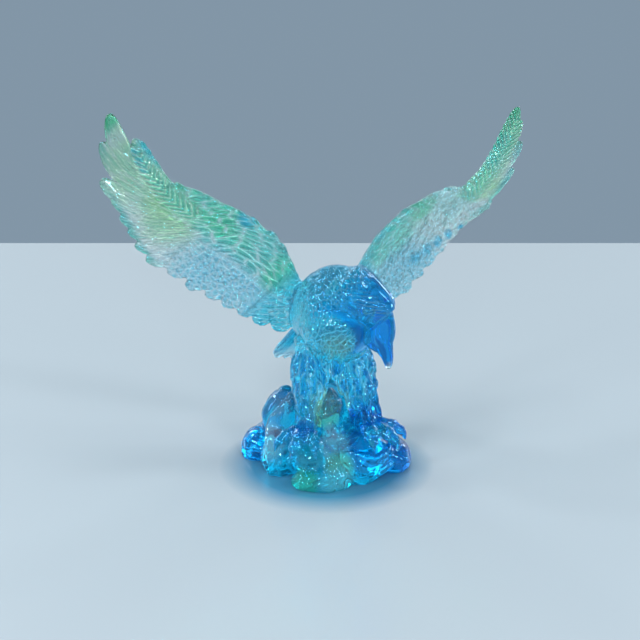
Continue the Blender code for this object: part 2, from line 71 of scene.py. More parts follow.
# Boulders: centre and half size as shares of the rock's size, and how many corners each is hewn with
BOULDERS = [
    ((-0.37, 0.03, 0.10), (0.135, 0.15, 0.28), 26),
    ((-0.345, 0.17, 0.06), (0.12, 0.15, 0.22), 20),
    ((-0.255, 0.06, 0.48), (0.13, 0.14, 0.34), 26),
    ((-0.26, -0.17, 0.16), (0.12, 0.15, 0.34), 20),
    ((-0.19, -0.10, 0.50), (0.09, 0.09, 0.38), 18),
    ((-0.02, -0.37, 0.05), (0.215, 0.145, 0.20), 24),
    ((-0.09, -0.29, 0.27), (0.13, 0.14, 0.24), 24),
    ((0.01, -0.10, 0.48), (0.10, 0.12, 0.50), 20),
    ((0.20, -0.26, 0.22), (0.18, 0.18, 0.31), 26),
    ((0.22, -0.10, 0.40), (0.10, 0.12, 0.26), 20),
    ((0.385, -0.12, 0.11), (0.115, 0.18, 0.23), 26),
    ((0.26, 0.03, 0.35), (0.08, 0.13, 0.26), 20),
    ((0.205, 0.12, 0.57), (0.085, 0.12, 0.30), 22),
    ((0.00, 0.22, 0.34), (0.24, 0.25, 0.50), 28),
    ((-0.21, 0.30, 0.18), (0.18, 0.18, 0.34), 24),
    ((0.21, 0.28, 0.14), (0.16, 0.18, 0.30), 24),
    ((0.00, 0.00, 0.10), (0.37, 0.37, 0.34), 28),
]
BOULDER_ROUGHNESS = 0.13
BOULDER_BEVEL = 0.0018
# Folds that flow over the boulders: points as shares of the rock's size, the direction their width lies
# along, and half width and half thickness as shares of ROCK_WIDTH; and how thick they start and end
FOLDS = [
    ([(-0.195, -0.08, 0.84), (-0.234, -0.125, 0.69), (-0.285, -0.14, 0.50), (-0.307, -0.235, 0.34),
      (-0.308, -0.27, 0.08)], (1, 0, 0), 0.060, 0.027),
    ([(-0.017, -0.10, 0.82), (-0.014, -0.18, 0.70), (0.009, -0.195, 0.55), (0.026, -0.25, 0.36),
      (0.036, -0.40, 0.22), (0.075, -0.445, 0.10)], (1, 0, 0), 0.051, 0.031),
    ([(0.083, -0.115, 0.545), (0.105, -0.255, 0.43), (0.17, -0.38, 0.365), (0.265, -0.375, 0.30),
      (0.345, -0.295, 0.345), (0.375, -0.20, 0.44)], (0, 0, 1), 0.024, 0.024),
    ([(0.066, -0.17, 0.45), (0.092, -0.365, 0.35), (0.186, -0.415, 0.19), (0.301, -0.345, 0.10),
      (0.388, -0.26, 0.167)], (0, 0, 1), 0.022, 0.022),
]
FOLD_ENDS = 0.35
ROCK_SEED = 7

# Legs: the foot as shares of the rock's size, the girth, the hip's place aside in body lengths, and the
# turn of the toes; thickness along the way from hip to foot; the hip's forward and up; and the knee's
# bend
RIGHT_LEG = {"foot": (-0.115, -0.27, 0.52), "girth": 0.95, "hip": -0.14, "turn": -40}
LEFT_LEG = {"foot": (0.235, -0.23, 0.56), "girth": 1.25, "hip": 0.12, "turn": 25}
LEG_TAPER = [(0.0, 1.45), (0.25, 1.45), (0.45, 1.25), (0.62, 1.05), (0.80, 0.92), (0.96, 0.95)]
HIP = (-0.02, 0.12)
KNEE_BEND = 0.25
# Toes: angles and lengths; stations of out, up and radius in toe lengths; the root ahead of the foot in
# leg thicknesses; and how flat, thin and knuckled they are
TOES = [(-38, 0.9), (0, 1.0), (36, 0.9), (178, 0.6)]
TOE_SHAPE = [(0.0, 0.02, 0.30), (0.45, 0.10, 0.26), (0.80, 0.02, 0.22), (1.02, -0.12, 0.14),
             (1.12, -0.36, 0.03)]
TOE_ROOT = 0.2
TOE_FLATNESS = 0.9
LEAST_TOE_RADIUS = 0.0003
KNUCKLES = 3
KNUCKLE_HEIGHT = 0.10

# The body's place over the middle of the feet as shares of the rock's size; and stations of forward,
# up, half width and half height in body or head lengths, with the beak's half heights in beak depths
BODY_OFFSET = (-0.055, 0.195)
BODY_STATIONS = [
    (-0.43, 0.06, 0.09, 0.07), (-0.30, 0.13, 0.19, 0.15),
    (-0.12, 0.24, 0.26, 0.24), (0.06, 0.34, 0.29, 0.30),
    (0.18, 0.44, 0.30, 0.30), (0.26, 0.51, 0.28, 0.275),
    (0.31, 0.55, 0.24, 0.24), (0.35, 0.58, 0.17, 0.17),
]
BELLY_STATIONS = [
    (0.16, 0.42, 0.27, 0.33), (0.19, 0.30, 0.285, 0.34),
    (0.17, 0.20, 0.26, 0.28), (0.13, 0.11, 0.20, 0.18),
    (0.11, 0.05, 0.10, 0.09),
]
SKULL_PLACE = (0.42, 0.13, 0.56)
SKULL_STATIONS = [
    (-0.34, -0.10, 0.20, 0.20), (-0.22, -0.08, 0.29, 0.30),
    (-0.08, -0.03, 0.285, 0.30), (0.06, 0.00, 0.24, 0.275),
    (0.19, 0.01, 0.18, 0.25), (0.30, 0.00, 0.135, 0.20),
]
UPPER_BEAK = [
    (0.24, 0.03, 0.120, 0.50), (0.37, -0.07, 0.110, 0.52),
    (0.47, -0.175, 0.095, 0.47), (0.56, -0.225, 0.080, 0.345),
    (0.64, -0.265, 0.062, 0.24), (0.70, -0.31, 0.048, 0.175),
    (0.735, -0.345, 0.034, 0.115), (0.752, -0.366, 0.012, 0.04),
]
LOWER_BEAK = [
    (0.16, -0.20, 0.12, 0.34), (0.30, -0.25, 0.105, 0.32),
    (0.42, -0.285, 0.085, 0.26), (0.53, -0.29, 0.05, 0.14),
]
# A brow, as forward, up, out and radius in head lengths
BROW = [
    (-0.04, 0.03, 0.22, 0.03), (0.08, 0.115, 0.20, 0.045),
    (0.19, 0.165, 0.14, 0.045), (0.28, 0.165, 0.08, 0.03),
]
# The neck's middle in body lengths, its radius, and the angles where its net ends at the back
NECK_MIDDLE = (0.16, 0.0, 0.44)
NECK_RADIUS = 0.0165
NAPE = (3.0, 3.1)
# In head lengths: forward and half width of the bare face and beak, where the face ends below, and an
# eye's forward, up, out and radius
FACE = [(-0.22, 0.32), (0.06, 0.27), (0.19, 0.22), (0.30, 0.18), (0.75, 0.12)]
FACE_BOTTOM = (-0.55, -0.42)
FACE_FADE = 0.05
EYE = (0.13, 0.06, 0.20)
EYE_RADIUS = 0.065
# Where the beak closes, as forward and up in head lengths, with the line's fading ends, its reach to
# the sides, its width and its depth
BEAK_LINE = [(0.16, -0.10), (0.30, -0.17), (0.42, -0.235), (0.53, -0.27), (0.62, -0.30)]
BEAK_LINE_START = (0.16, 0.22)
BEAK_LINE_END = (0.55, 0.64)
BEAK_LINE_REACH = (0.20, 0.25)
BEAK_LINE_WIDTH = 0.014
BEAK_LINE_DEPTH = 0.0005
# The brow's fine ridges: their middle and spread each way in head lengths, their pitch, slant and depth
BROW_AHEAD = (0.15, 0.15)
BROW_ASIDE = (0.18, 0.10)
BROW_ABOVE = (0.12, 0.08)
BROW_RIDGE = 0.050
BROW_SLANT = 0.7
BROW_RIDGE_DEPTH = 0.00045

# Wings: the shoulder in body lengths, the directions of span and chord, and which side is the front. As
# shares of WING_LENGTH along span and chord: the bones, the flight feathers' tips, the root and tip of
# the feather over the hand and of the one with barbs, and the tips of the short ones on the leading
# edge. Feathers are crushed from a share of the way to the tips and up to a share of the span.
RIGHT_WING = {
    "shoulder": (-0.143, -0.247, 0.488),
    "span": (-0.647, 0.0, 0.740),
    "chord": (-0.748, 0.150, -0.764),
    "front": 1,
    "barbed": [(0.47, 0.085), (0.865, 0.030)],
    "barbed_width": 0.85,
    "crushed": (0.40, 0.42),
    "bones": [(0.00, 0.02), (0.14, -0.03), (0.30, -0.028), (0.44, 0.02), (0.56, 0.07)],
    "tips": [
        (1.000, 0.030), (0.950, 0.135), (0.845, 0.243), (0.768, 0.267), (0.693, 0.293), (0.628, 0.314),
        (0.568, 0.335), (0.496, 0.343), (0.400, 0.316), (0.304, 0.305), (0.212, 0.280), (0.134, 0.258),
        (0.060, 0.238), (-0.020, 0.215), (-0.115, 0.170)],
    "hand": [(0.47, 0.085), (0.865, 0.030)],
    "edge": [(0.185, -0.075), (0.331, -0.064), (0.480, -0.002), (0.632, 0.062)],
}
LEFT_WING = {
    "shoulder": (-0.055, 0.287, 0.517),
    "span": (0.624, 0.520, 0.583),
    "chord": (0.439, 0.575, -0.690),
    "front": -1,
    "barbed": [(0.58, 0.215), (1.00, 0.045)],
    "barbed_width": 1.5,
    "crushed": (0.0, 0.62),
    "bones": [(0.00, 0.065), (0.14, 0.000), (0.28, -0.004), (0.42, 0.058), (0.56, 0.190)],
    "tips": [
        (1.005, 0.000), (0.990, 0.090), (0.945, 0.200), (0.848, 0.292), (0.770, 0.312), (0.680, 0.340),
        (0.620, 0.328), (0.560, 0.316), (0.480, 0.312), (0.395, 0.316), (0.315, 0.316), (0.235, 0.316),
        (0.148, 0.322), (0.090, 0.290), (0.025, 0.245)],
    "hand": [(0.48, 0.205), (0.850, 0.140)],
    "edge": [(0.160, -0.037), (0.290, -0.036), (0.425, 0.020), (0.600, 0.170)],
}
# The wing's root inside the body: forward in body lengths, aside and up as shares of the shoulder's
# place
WING_ROOT = (0.05, 0.35, 0.70)
# As shares of WING_LENGTH: the wing's cup, the bend of its tip and its start, how far behind the bones
# the flight feathers root, a feather's width, and how the short feathers on the leading edge run
WING_CUP = 0.035
CUP_MIDDLE = 0.12
CUP_HALF_WIDTH = 0.24
TIP_BEND = 0.07
BEND_START = 0.45
FLIGHT_ROOT = 0.03
FEATHER_WIDTH = 0.100
EDGE_FEATHER_RUN = (0.13, -0.075)
# The bow of the outermost and the innermost flight feather as shares of their lengths, and feathers'
# tilt
FIRST_BOW = 0.15
LAST_BOW = 0.03
FEATHER_TILT = 0.10
# The feather over the hand and the short ones on the leading edge, in feather widths and thicknesses
HAND_WIDTH = 0.85
HAND_THICKNESS = 1.5
HAND_LIFT = 0.7
HAND_BOW = 0.10
EDGE_WIDTH = 0.85
EDGE_THICKNESS = 1.9
# The outermost flight feathers are narrower, like spread fingers, and widen over these shares of the
# row
FINGER_WIDTH = 0.82
FINGER_RUN = (0.42, 0.56)
# Rows of covering feathers: how far behind the bones they root and how long they are, as shares of
# WING_LENGTH; how far they turn from the bones towards the flight feathers at the shoulder; their
# thickness and width in feather thicknesses and widths; and the count
COVERT_ROWS = [
    (0.045, 0.20, 0.38, 1.35, 0.46, 12),
    (0.020, 0.19, 0.24, 1.65, 0.44, 12),
    (-0.005, 0.17, 0.12, 2.00, 0.42, 12),
    (-0.030, 0.14, 0.00, 2.20, 0.40, 11),
]
COVERT_TURN_AT_HAND = 0.9
COVERT_SPAN = 0.86
# The tail's root in body lengths; its feathers' count, overlap, shortening at the sides, spread at the
# root and thickness
RUMP = (-0.30, 0.0, 0.12)
TAIL_FEATHERS = 6
TAIL_OVERLAP = 1.5
TAIL_ROUNDING = 0.10
TAIL_ROOT = 0.35
TAIL_THICKNESS = 2.2
# Outlines of feathers: the width at the root, and the shares of the length where they are full and
# round off
FEATHER_SHAPE = (0.6, 0.33, 0.62)
COVERT_SHAPE = (0.65, 0.45, 0.55)
LOCK_SHAPE = (0.6, 0.45, 0.55)
TAIL_SHAPE = (0.7, 0.3, 0.75)
TIP_ROUNDNESS = 2.4

# Carving: how fine the shapes are drawn, how narrow and thin they get, and the feathers' shafts and
# rims
DRAWN_STEP = 0.0006
LEAST_HALF_WIDTH = 0.0004
LEAST_HALF_THICKNESS = 0.0001
TIP_THINNING = 0.45
SHAFT_WIDTH = 0.0007
SHAFT_HEIGHT = 0.0004
RIM_HEIGHT = 0.0004
RIM_PLACE = (0.80, 0.14)
# Relief over the wings: the barbed feather's barbs, the strands across a wing's flight feathers, and
# the ridge where the coverts end, at a share of the way from the bones to the tips
BARB_PITCH = 0.0033
BARB_DEPTH = 0.0005
BARB_SLANT = 1.2
BARB_SPREAD = 0.45
RELIEF_STRANDS = 95
STRAND_DEPTH = 0.00022
COVERT_EDGE = 0.40
BORDER_HEIGHT = 0.0005
BORDER_WIDTH = 0.03
BORDER_END = (0.55, 0.7)
# The net of ridges that the material draws: the size and turn of its cells over the coverts, their size
# over crushed feathers and around the neck, and their count along and across the flight feathers; its
# strength over each; how strong the barbs are where they take its place; and its ridges' width in cells
# and height
NET_CELL = (0.0085, 0.0024)
NET_TURN = 22
CRUSHED_CELL = (0.0034, 0.0021)
PEBBLE = (0.0018, 0.0024)
NET_STRANDS = (2.6, 56.0)
FLIGHT_NET = 0.5
CRUSHED_NET = 0.65
PEBBLE_NET = 0.7
BARBS_FROM = 0.3
NET_WIDTH = 0.15
NET_BUMP = 0.00025
# Finer strands that the material draws: their depth, how many cross a wing, how often they break along
# and through it, their size on the body, and their strength on smooth parts and in plumage
STRAND_BUMP = 0.0003
WING_STRANDS = 130
STRAND_BREAKS = 6
STRAND_LAYER = 0.002
PLUMAGE_STRAND = (0.0010, 0.0010, 0.0030)
SMOOTH_STRANDS = 0.03
PLUMED_STRANDS = 0.5

# The fused skin: its voxels and how often it is relaxed, for the eagle and the rock; its triangles; and
# the height below which its underside is set flat
VOXEL = 0.00045
RELAXING = 1
ROCK_VOXEL = 0.0008
ROCK_RELAXING = 2
MOST_TRIANGLES = 190000
UNDERSIDE_BAND = 0.0006

# Colours of the crystal, linear
CLEAR = (0.97, 0.98, 0.96)
ICE_BLUE = (0.46, 0.82, 0.97)
SKY_BLUE = (0.04, 0.64, 0.92)
DEEP_BLUE = (0.003, 0.30, 0.82)
TEAL = (0.42, 0.90, 0.82)
SEA_TEAL = (0.16, 0.74, 0.66)
GREEN = (0.14, 0.84, 0.40)
YELLOW_GREEN = (0.60, 0.94, 0.45)
GREY_GREEN = (0.76, 0.98, 0.68)
PALE_GREEN = (0.90, 1.0, 0.62)
BODY_TEAL = (0.11, 0.74, 0.93)
SEA_GREEN = (0.08, 0.52, 0.56)
# Painted shade multiplied into the net's cells between its ridges
HOLLOW_SHADE_TONE = (0.40, 0.84, 0.80, 1.0)
# The see-through materials
CRYSTAL = {
    "Transmission Weight": 0.90, "Roughness": 0.03, "IOR": 1.5, "Specular Tint": (0.15, 0.65, 1.0, 1.0),
    "Coat Weight": 0.3, "Coat Roughness": 0.08, "Coat IOR": 1.5}
ABSORPTION = {"Color": (0.0, 0.93, 0.985, 1.0), "Density": 55.0}
AIR = {"Base Color": (*CLEAR, 1.0), "Transmission Weight": 1.0, "Roughness": 0.0, "IOR": 1 / 1.5}
# The scale and strength of paler clouds in the crystal, and how strongly the painted highlights on the
# net's ridges and the painted shade in its cells show
CLOUD_SCALE = 90.0
CLOUD_STRENGTH = 0.3
RIDGE_HIGHLIGHT_STRENGTH = 0.9
HOLLOW_SHADE_STRENGTH = 0.8
# The height where the legs turn from blue to teal
LEG_BLUE = (0.050, 0.066)

# Spots of colour in the body and rock: place, radius and colour
BODY_SPOTS = [
    ((-0.020, -0.030, 0.082), 0.016, TEAL),
    ((0.004, -0.040, 0.068), 0.014, GREY_GREEN),
    ((-0.0217, 0.03, 0.0425), 0.014, ICE_BLUE),
    ((0.001, -0.018, 0.034), 0.013, PALE_GREEN),
    ((-0.028, -0.016, 0.016), 0.012, CLEAR),
    ((-0.025, -0.006, 0.032), 0.012, ICE_BLUE),
    ((0.017, -0.024, 0.014), 0.015, DEEP_BLUE),
    ((0.036, -0.012, 0.010), 0.026, DEEP_BLUE),
    ((-0.038, -0.002, 0.006), 0.019, DEEP_BLUE),
    ((-0.011, -0.026, 0.024), 0.009, DEEP_BLUE),
    ((0.018, -0.018, 0.028), 0.012, DEEP_BLUE),
    ((0.000, -0.018, 0.028), 0.009, YELLOW_GREEN),
    ((0.002, -0.023, 0.018), 0.011, CLEAR),
    ((0.006, -0.031, 0.010), 0.009, YELLOW_GREEN),
    ((-0.012, -0.036, 0.003), 0.012, GREEN),
    ((0.006, -0.038, 0.002), 0.012, TEAL),
    ((-0.008, -0.031, 0.015), 0.009, SEA_GREEN),
]
# Spots of colour in the wings: span, chord and radius as shares of WING_LENGTH, strength and colour
RIGHT_WING_SPOTS = [
    ((0.56, 0.16), 0.17, 0.6, YELLOW_GREEN), ((0.80, 0.12), 0.22, 0.7, GREY_GREEN),
    ((0.83, 0.072), 0.024, 0.9, SKY_BLUE), ((0.79, 0.084), 0.024, 0.9, SKY_BLUE),
    ((0.75, 0.096), 0.024, 0.9, SKY_BLUE), ((0.33, -0.06), 0.05, 0.9, SKY_BLUE),
    ((0.40, 0.02), 0.10, 0.5, GREEN), ((0.05, 0.00), 0.12, 0.8, GREEN),
    ((0.17, 0.02), 0.10, 0.5, SEA_TEAL),
]
LEFT_WING_SPOTS = [
    ((0.10, 0.05), 0.14, 0.9, ICE_BLUE), ((0.50, 0.14), 0.28, 0.9, CLEAR),
    ((0.42, 0.02), 0.10, 0.7, GREEN), ((0.14, 0.02), 0.08, 0.5, GREEN),
    ((0.70, 0.24), 0.10, 0.8, YELLOW_GREEN), ((0.88, 0.10), 0.14, 0.8, YELLOW_GREEN),
    ((0.86, 0.11), 0.08, 0.8, SEA_TEAL), ((0.78, 0.14), 0.06, 0.8, SEA_TEAL),
    ((0.25, 0.22), 0.040, 0.9, SKY_BLUE), ((0.31, 0.24), 0.040, 0.9, SKY_BLUE),
    ((0.37, 0.26), 0.035, 0.9, SKY_BLUE), ((0.43, 0.28), 0.030, 0.9, SKY_BLUE),
    ((0.49, 0.31), 0.025, 0.9, SKY_BLUE),
]

# A point's feather is found among so many feathers and steps along them, to just past the tips. A wing
# fades out away from its feathers and its middle surface, and at the start of its span.
GRAIN_FEATHERS = 90
GRAIN_STEPS = 70
GRAIN_REACH = 1.05
NEAR_FEATHER = (0.006, 0.010)
NEAR_SURFACE = (0.009, 0.013)
SPAN_START = (-0.02, 0.10)
# Small relief over the skin, as depths and grain: plumage, flames on the thighs, lumps on crushed
# feathers, and chips and creases in the rock, which is smoother at its ends. The thighs end at
# THIGH_TOP, and the smooth tail lies behind TAIL_START and below TAIL_TOP.
PLUMAGE_DEPTH = 0.00045
PLUMAGE_GRAIN = (0.0026, 0.0026, 0.0060)
FLAME_DEPTH = 0.0013
FLAME_GRAIN = (0.0030, 0.0030, 0.0095)
THIGH_TOP = (0.056, 0.064)
TAIL_START = (0.006, 0.014)
TAIL_TOP = (0.066, 0.076)
LUMP_DEPTH = 0.0012
LUMP_GRAIN = 0.0029
ROCK_FOOT = (0.001, 0.006)
CHIP_DEPTH = 0.0014
CHIP_GRAIN = (0.0075, 0.0075, 0.0110)
SMOOTH_ENDS = (0.018, 0.030)
SMOOTHING = 0.6
CREASE_DEPTH = 0.0008
CREASE_WIDTH = 0.07
CREASE_GRAIN = (0.0090, 0.0090, 0.0200)

# Locks in rows on the belly and legs: how far down the roots lie, the angles they span in degrees, and
# the count
BELLY_LOCKS = [(0.55, 15, 165, 10)]
LEG_LOCKS = [(0.22, -70, 250, 10), (0.38, -60, 240, 9), (0.54, -60, 240, 8), (0.68, -60, 240, 7)]
# A lock's width in lock lengths, its thickness and lift in feather thicknesses, and its swing aside and
# bow
LOCK_WIDTH = 0.32
LOCK_THICKNESS = 1.5
LOCK_LIFT = (-0.3, 0.6)
LOCK_SWING = 0.4
LOCK_BOW = 0.4

# Air bubbles: the middle and half size of each cluster, and the count
BUBBLES = [
    ((-0.0108, -0.0250, 0.0230), (0.0060, 0.0050, 0.0050), 45),
    ((-0.0320, 0.0000, 0.0080), (0.0070, 0.0080, 0.0060), 30),
    ((0.0210, -0.0180, 0.0250), (0.0070, 0.0050, 0.0040), 35),
    ((0.0265, -0.0310, 0.0690), (0.0020, 0.0030, 0.0060), 14),
    ((0.0340, -0.0060, 0.0100), (0.0050, 0.0060, 0.0060), 14),
]
BUBBLE_RADIUS = (0.00020, 0.00055)
BUBBLE_CLEARANCE = 0.0002
BUBBLE_SEED = 5

# The stage, in metres and linear colours
TABLE_EDGE = 0.314
TABLE_DEPTH = 2.4
TABLE_HALF_WIDTH = 1.6
TABLE_DROP = 0.0001
TABLE_COLOUR = (0.445, 0.505, 0.545, 1.0)
TABLE_ROUGHNESS = 0.22
# A painted blue shadow of the crystal on the table, and how far it reaches as shares of the rock's size
PAINTED_SHADOW_COLOUR = (0.06, 0.24, 0.38, 1.0)
PAINTED_SHADOW_REACH = (0.42, 0.62)
PAINTED_SHADOW_FORWARD = 0.12
ROOM_COLOUR = (0.225, 0.305, 0.385, 1.0)
TENT_COLOUR = (0.34, 0.43, 0.50, 1.0)
WINDOW_COLOUR = (1.10, 1.20, 1.28, 1.0)
# Where the window and the tent fade in and out, as parts of a direction's length, and how bright the
# tent is behind the camera
WINDOW_ABOVE = (0.01, 0.05, 0.22, 0.30)
WINDOW_AHEAD = (0.3, 0.5)
TENT_ABOVE = (0.0, 0.12)
TENT_BESIDE = (0.45, 0.80)
TENT_BEHIND = (-0.9, -0.2)
TENT_BEHIND_CAMERA = 0.6
# Softboxes: name, place, size and power in watts
SOFTBOXES = [
    ("overhead_softbox", (0.0, 0.05, 0.95), (0.30, 0.20), 2.1),
    ("front_left_softbox", (-0.40, -0.45, 0.70), (0.12, 0.12), 1.1),
    ("front_right_softbox", (0.35, -0.45, 0.75), (0.12, 0.12), 1.1),
    ("back_left_strip", (-0.50, 0.60, 0.40), (0.10, 0.50), 1.2),
    ("back_right_strip", (0.50, 0.60, 0.40), (0.10, 0.50), 1.2),
    ("left_strip", (-0.75, -0.10, 0.35), (0.05, 0.50), 0.6),
    ("right_softbox", (0.65, -0.15, 0.50), (0.10, 0.30), 0.9),
    ("low_left_lamp", (-0.20, -0.75, 0.14), (0.08, 0.06), 1.1),
    ("low_right_lamp", (0.25, -0.72, 0.18), (0.08, 0.06), 0.9),
    ("side_left_lamp", (-0.60, -0.50, 0.20), (0.06, 0.06), 0.9),
    ("side_right_lamp", (0.75, 0.08, 0.15), (0.20, 0.08), 0.9),
    ("far_left_lamp", (-0.70, 0.10, 0.55), (0.10, 0.10), 1.2),
]
LAMP_AIM = (0.0, 0.0, 0.07)
CAMERA_AIM = (-0.003, 0.0, 0.0705)
CAMERA_DISTANCE = 0.70
CAMERA_PITCH = 22.0
CAMERA_LENS = 84.375
SENSOR_WIDTH = 36.0


def row(*values):
    return np.array(values, float)


def unit(vector):
    return vector / np.linalg.norm(vector, axis=-1, keepdims=True)


def rise(low, high, x):
    """0 below low, 1 above high, and smooth in between."""
    t = np.clip((x - low) / (high - low), 0.0, 1.0)
    return t * t * (3 - 2 * t)


def fall(low, high, x):
    return 1 - rise(low, high, x)


def bump(middle, width, x):
    return np.exp(-((x - middle) / width) ** 2)


def smooth(rows, steps):
    """Rows of numbers with more rows in each gap, on a smooth curve through them all."""
    rows = np.array(rows, float)
    padded = np.vstack([rows[:1], rows, rows[-1:]])
    out = []
    for i in range(len(rows) - 1):
        a, b, c, d = padded[i:i + 4]
        for step in range(steps):
            t = step / steps
            out.append(0.5 * (2 * b + (c - a) * t + (2 * a - 5 * b + 4 * c - d) * t**2
                              + (3 * b - 3 * c + d - a) * t**3))
    return np.array(out + [rows[-1]])


def along(rows, share):
    """Points at shares of the way along a list of points."""
    rows = np.array(rows, float)
    place = np.clip(share, 0.0, 1.0) * (len(rows) - 1)
    columns = [np.interp(place, range(len(rows)), column) for column in rows.T]
    return np.stack(columns, axis=-1)


def new_object(name, data):
    obj = bpy.data.objects.new(name, data)
    bpy.context.scene.collection.objects.link(obj)
    return obj


def mesh_of(bm, name):
    mesh = bpy.data.meshes.new(name)
    bm.to_mesh(mesh)
    bm.free()
    return mesh


class Frame:
    """A place with its own forward, left and up directions."""

    def __init__(self, origin, turn, dip=0.0):
        turn = math.radians(turn)
        dip = math.radians(dip)
        level = math.cos(dip)
        self.origin = np.array(origin, float)
        self.forward = row(math.sin(turn) * level, -math.cos(turn) * level, -math.sin(dip))
        self.left = row(math.cos(turn), math.sin(turn), 0.0)
        self.up = np.cross(self.forward, self.left)

    def at(self, forward, left, up):
        return self.origin + self.forward * forward + self.left * left + self.up * up

    def place(self, shares, size):
        """The place that lies forward, left and up by shares of a size."""
        return self.at(*(row(*shares) * size))

    def seen(self, points):
        """Points as forward, left and up from here."""
        return (points - self.origin) @ np.column_stack([self.forward, self.left, self.up])


class Clay:
    """Closed shapes that overlap, collected to be fused."""

    def __init__(self):
        self.points = []
        self.faces = []
        self.count = 0

    def add_loft(self, rings):
        """A closed body through rings of points, an array of rings x points x 3."""
        rings = np.asarray(rings, float)
        count, sides = rings.shape[:2]
        index = np.arange(count * sides).reshape(count, sides)
        turned = np.roll(index, -1, axis=1)
        quads = np.stack([index[:-1], turned[:-1], turned[1:], index[1:]], axis=-1).reshape(-1, 4)
        first, last = count * sides, count * sides + 1
        ends = [(first, b, a) for a, b in zip(index[0], turned[0])]
        ends += [(last, a, b) for a, b in zip(index[-1], turned[-1])]
        points = np.vstack([rings.reshape(-1, 3), rings[0].mean(0), rings[-1].mean(0)])
        self.add_mixed(points, quads.tolist() + ends)

    def add_mixed(self, points, faces):
        """Points and faces with any number of corners."""
        self.faces.extend([[corner + self.count for corner in face] for face in faces])
        self.points.append(np.array([tuple(point) for point in points]))
        self.count += len(points)

    def object(self, name):
        mesh = bpy.data.meshes.new(name)
        mesh.from_pydata(np.vstack(self.points).tolist(), [], self.faces)
        return new_object(name, mesh)


class Tube:
    """A body swept through stations of a centre, a half width along `side`, and a half height."""

    def __init__(self, centres, wide, high, side):
        centres = np.array(centres, float)
        travel = unit(np.gradient(centres, axis=0))
        up = unit(np.cross(travel, side))
        self.centres = centres
        self.wide = np.cross(up, travel) * np.array(wide)[:, None]
        self.high = up * np.array(high)[:, None]
        self.marks = np.concatenate([[0.0], np.cumsum(np.linalg.norm(np.diff(centres, axis=0), axis=1))])
        self.radius = max(wide)

    def point(self, distance, angle, height=0.0):
        """Points over the skin, at distances along the middle line and angles around it."""
        def at(values):
            return np.stack([np.interp(distance, self.marks, values[:, k]) for k in range(3)], axis=-1)

        out = at(self.wide) * np.cos(angle)[..., None] + at(self.high) * np.sin(angle)[..., None]
        return at(self.centres) + out + unit(out) * np.asarray(height)[..., None]

    def build(self, clay, sides=48):
        angles = np.arange(sides) * math.tau / sides
        rings = (self.centres[:, None] + self.wide[:, None] * np.cos(angles)[None, :, None]
                 + self.high[:, None] * np.sin(angles)[None, :, None])
        clay.add_loft(rings)


def framed_tube(place, rows, size, depth=None):
    """A tube from rows of forward, up, half width and half height in a frame."""
    depth = depth or size
    rows = smooth(rows, 8)
    centres = [place.at(forward * size, 0.0, up * size) for forward, up in rows[:, :2]]
    return Tube(centres, rows[:, 2] * size, rows[:, 3] * depth, place.left)


def boulder(clay, centre, half_size, corners, rng):
    """A hewn lump of rock with worn edges: the hull of uneven points spread over an ellipsoid."""
    bm = bmesh.new()
    golden = math.pi * (3 - math.sqrt(5))
    start = rng.uniform(0, math.tau)
    for i in range(corners):
        height = 1 - 2 * (i + 0.5) / corners
        ring = math.sqrt(1 - height**2)
        turn = golden * i + start
        point = row(math.cos(turn) * ring, math.sin(turn) * ring, height)
        point *= 1 + rng.uniform(-BOULDER_ROUGHNESS, BOULDER_ROUGHNESS)
        bm.verts.new(centre + half_size * point)
    hull = bmesh.ops.convex_hull(bm, input=bm.verts)
    bmesh.ops.delete(bm, geom=hull["geom_interior"], context="VERTS")
    bmesh.ops.bisect_plane(bm, geom=bm.verts[:] + bm.edges[:] + bm.faces[:], plane_co=(0, 0, 0),
                           plane_no=(0, 0, 1), clear_inner=True, dist=1e-7)
    bmesh.ops.holes_fill(bm, edges=[edge for edge in bm.edges if edge.is_boundary])
    bmesh.ops.recalc_face_normals(bm, faces=bm.faces)
    ridges = [edge for edge in bm.edges if min(vert.co.z for vert in edge.verts) > 1e-5]
    bmesh.ops.bevel(bm, geom=ridges, offset=BOULDER_BEVEL, segments=2, profile=0.5, affect="EDGES")
    bm.verts.index_update()
    faces = [[vert.index for vert in face.verts] for face in bm.faces]
    clay.add_mixed([vert.co for vert in bm.verts], faces)
    bm.free()


def outline(share, root, full, tip):
    """A feather's half width along it: `root` at 0, 1 from `full` on, and rounded off from `tip` to 1."""
    width = root + (1 - root) * rise(0.0, full, share)
    past = np.clip((share - tip) / (1 - tip), 0.0, 1.0)
    return width * np.sqrt(np.maximum(1 - past**TIP_ROUNDNESS, 0.0))


def bowed(root, tip, bow, share):
    """Places at shares of the way from root to tip, on a line that bows aside."""
    run = tip - root
    return root + run * share + row(-run[1], run[0]) * bow * 4 * share * (1 - share)


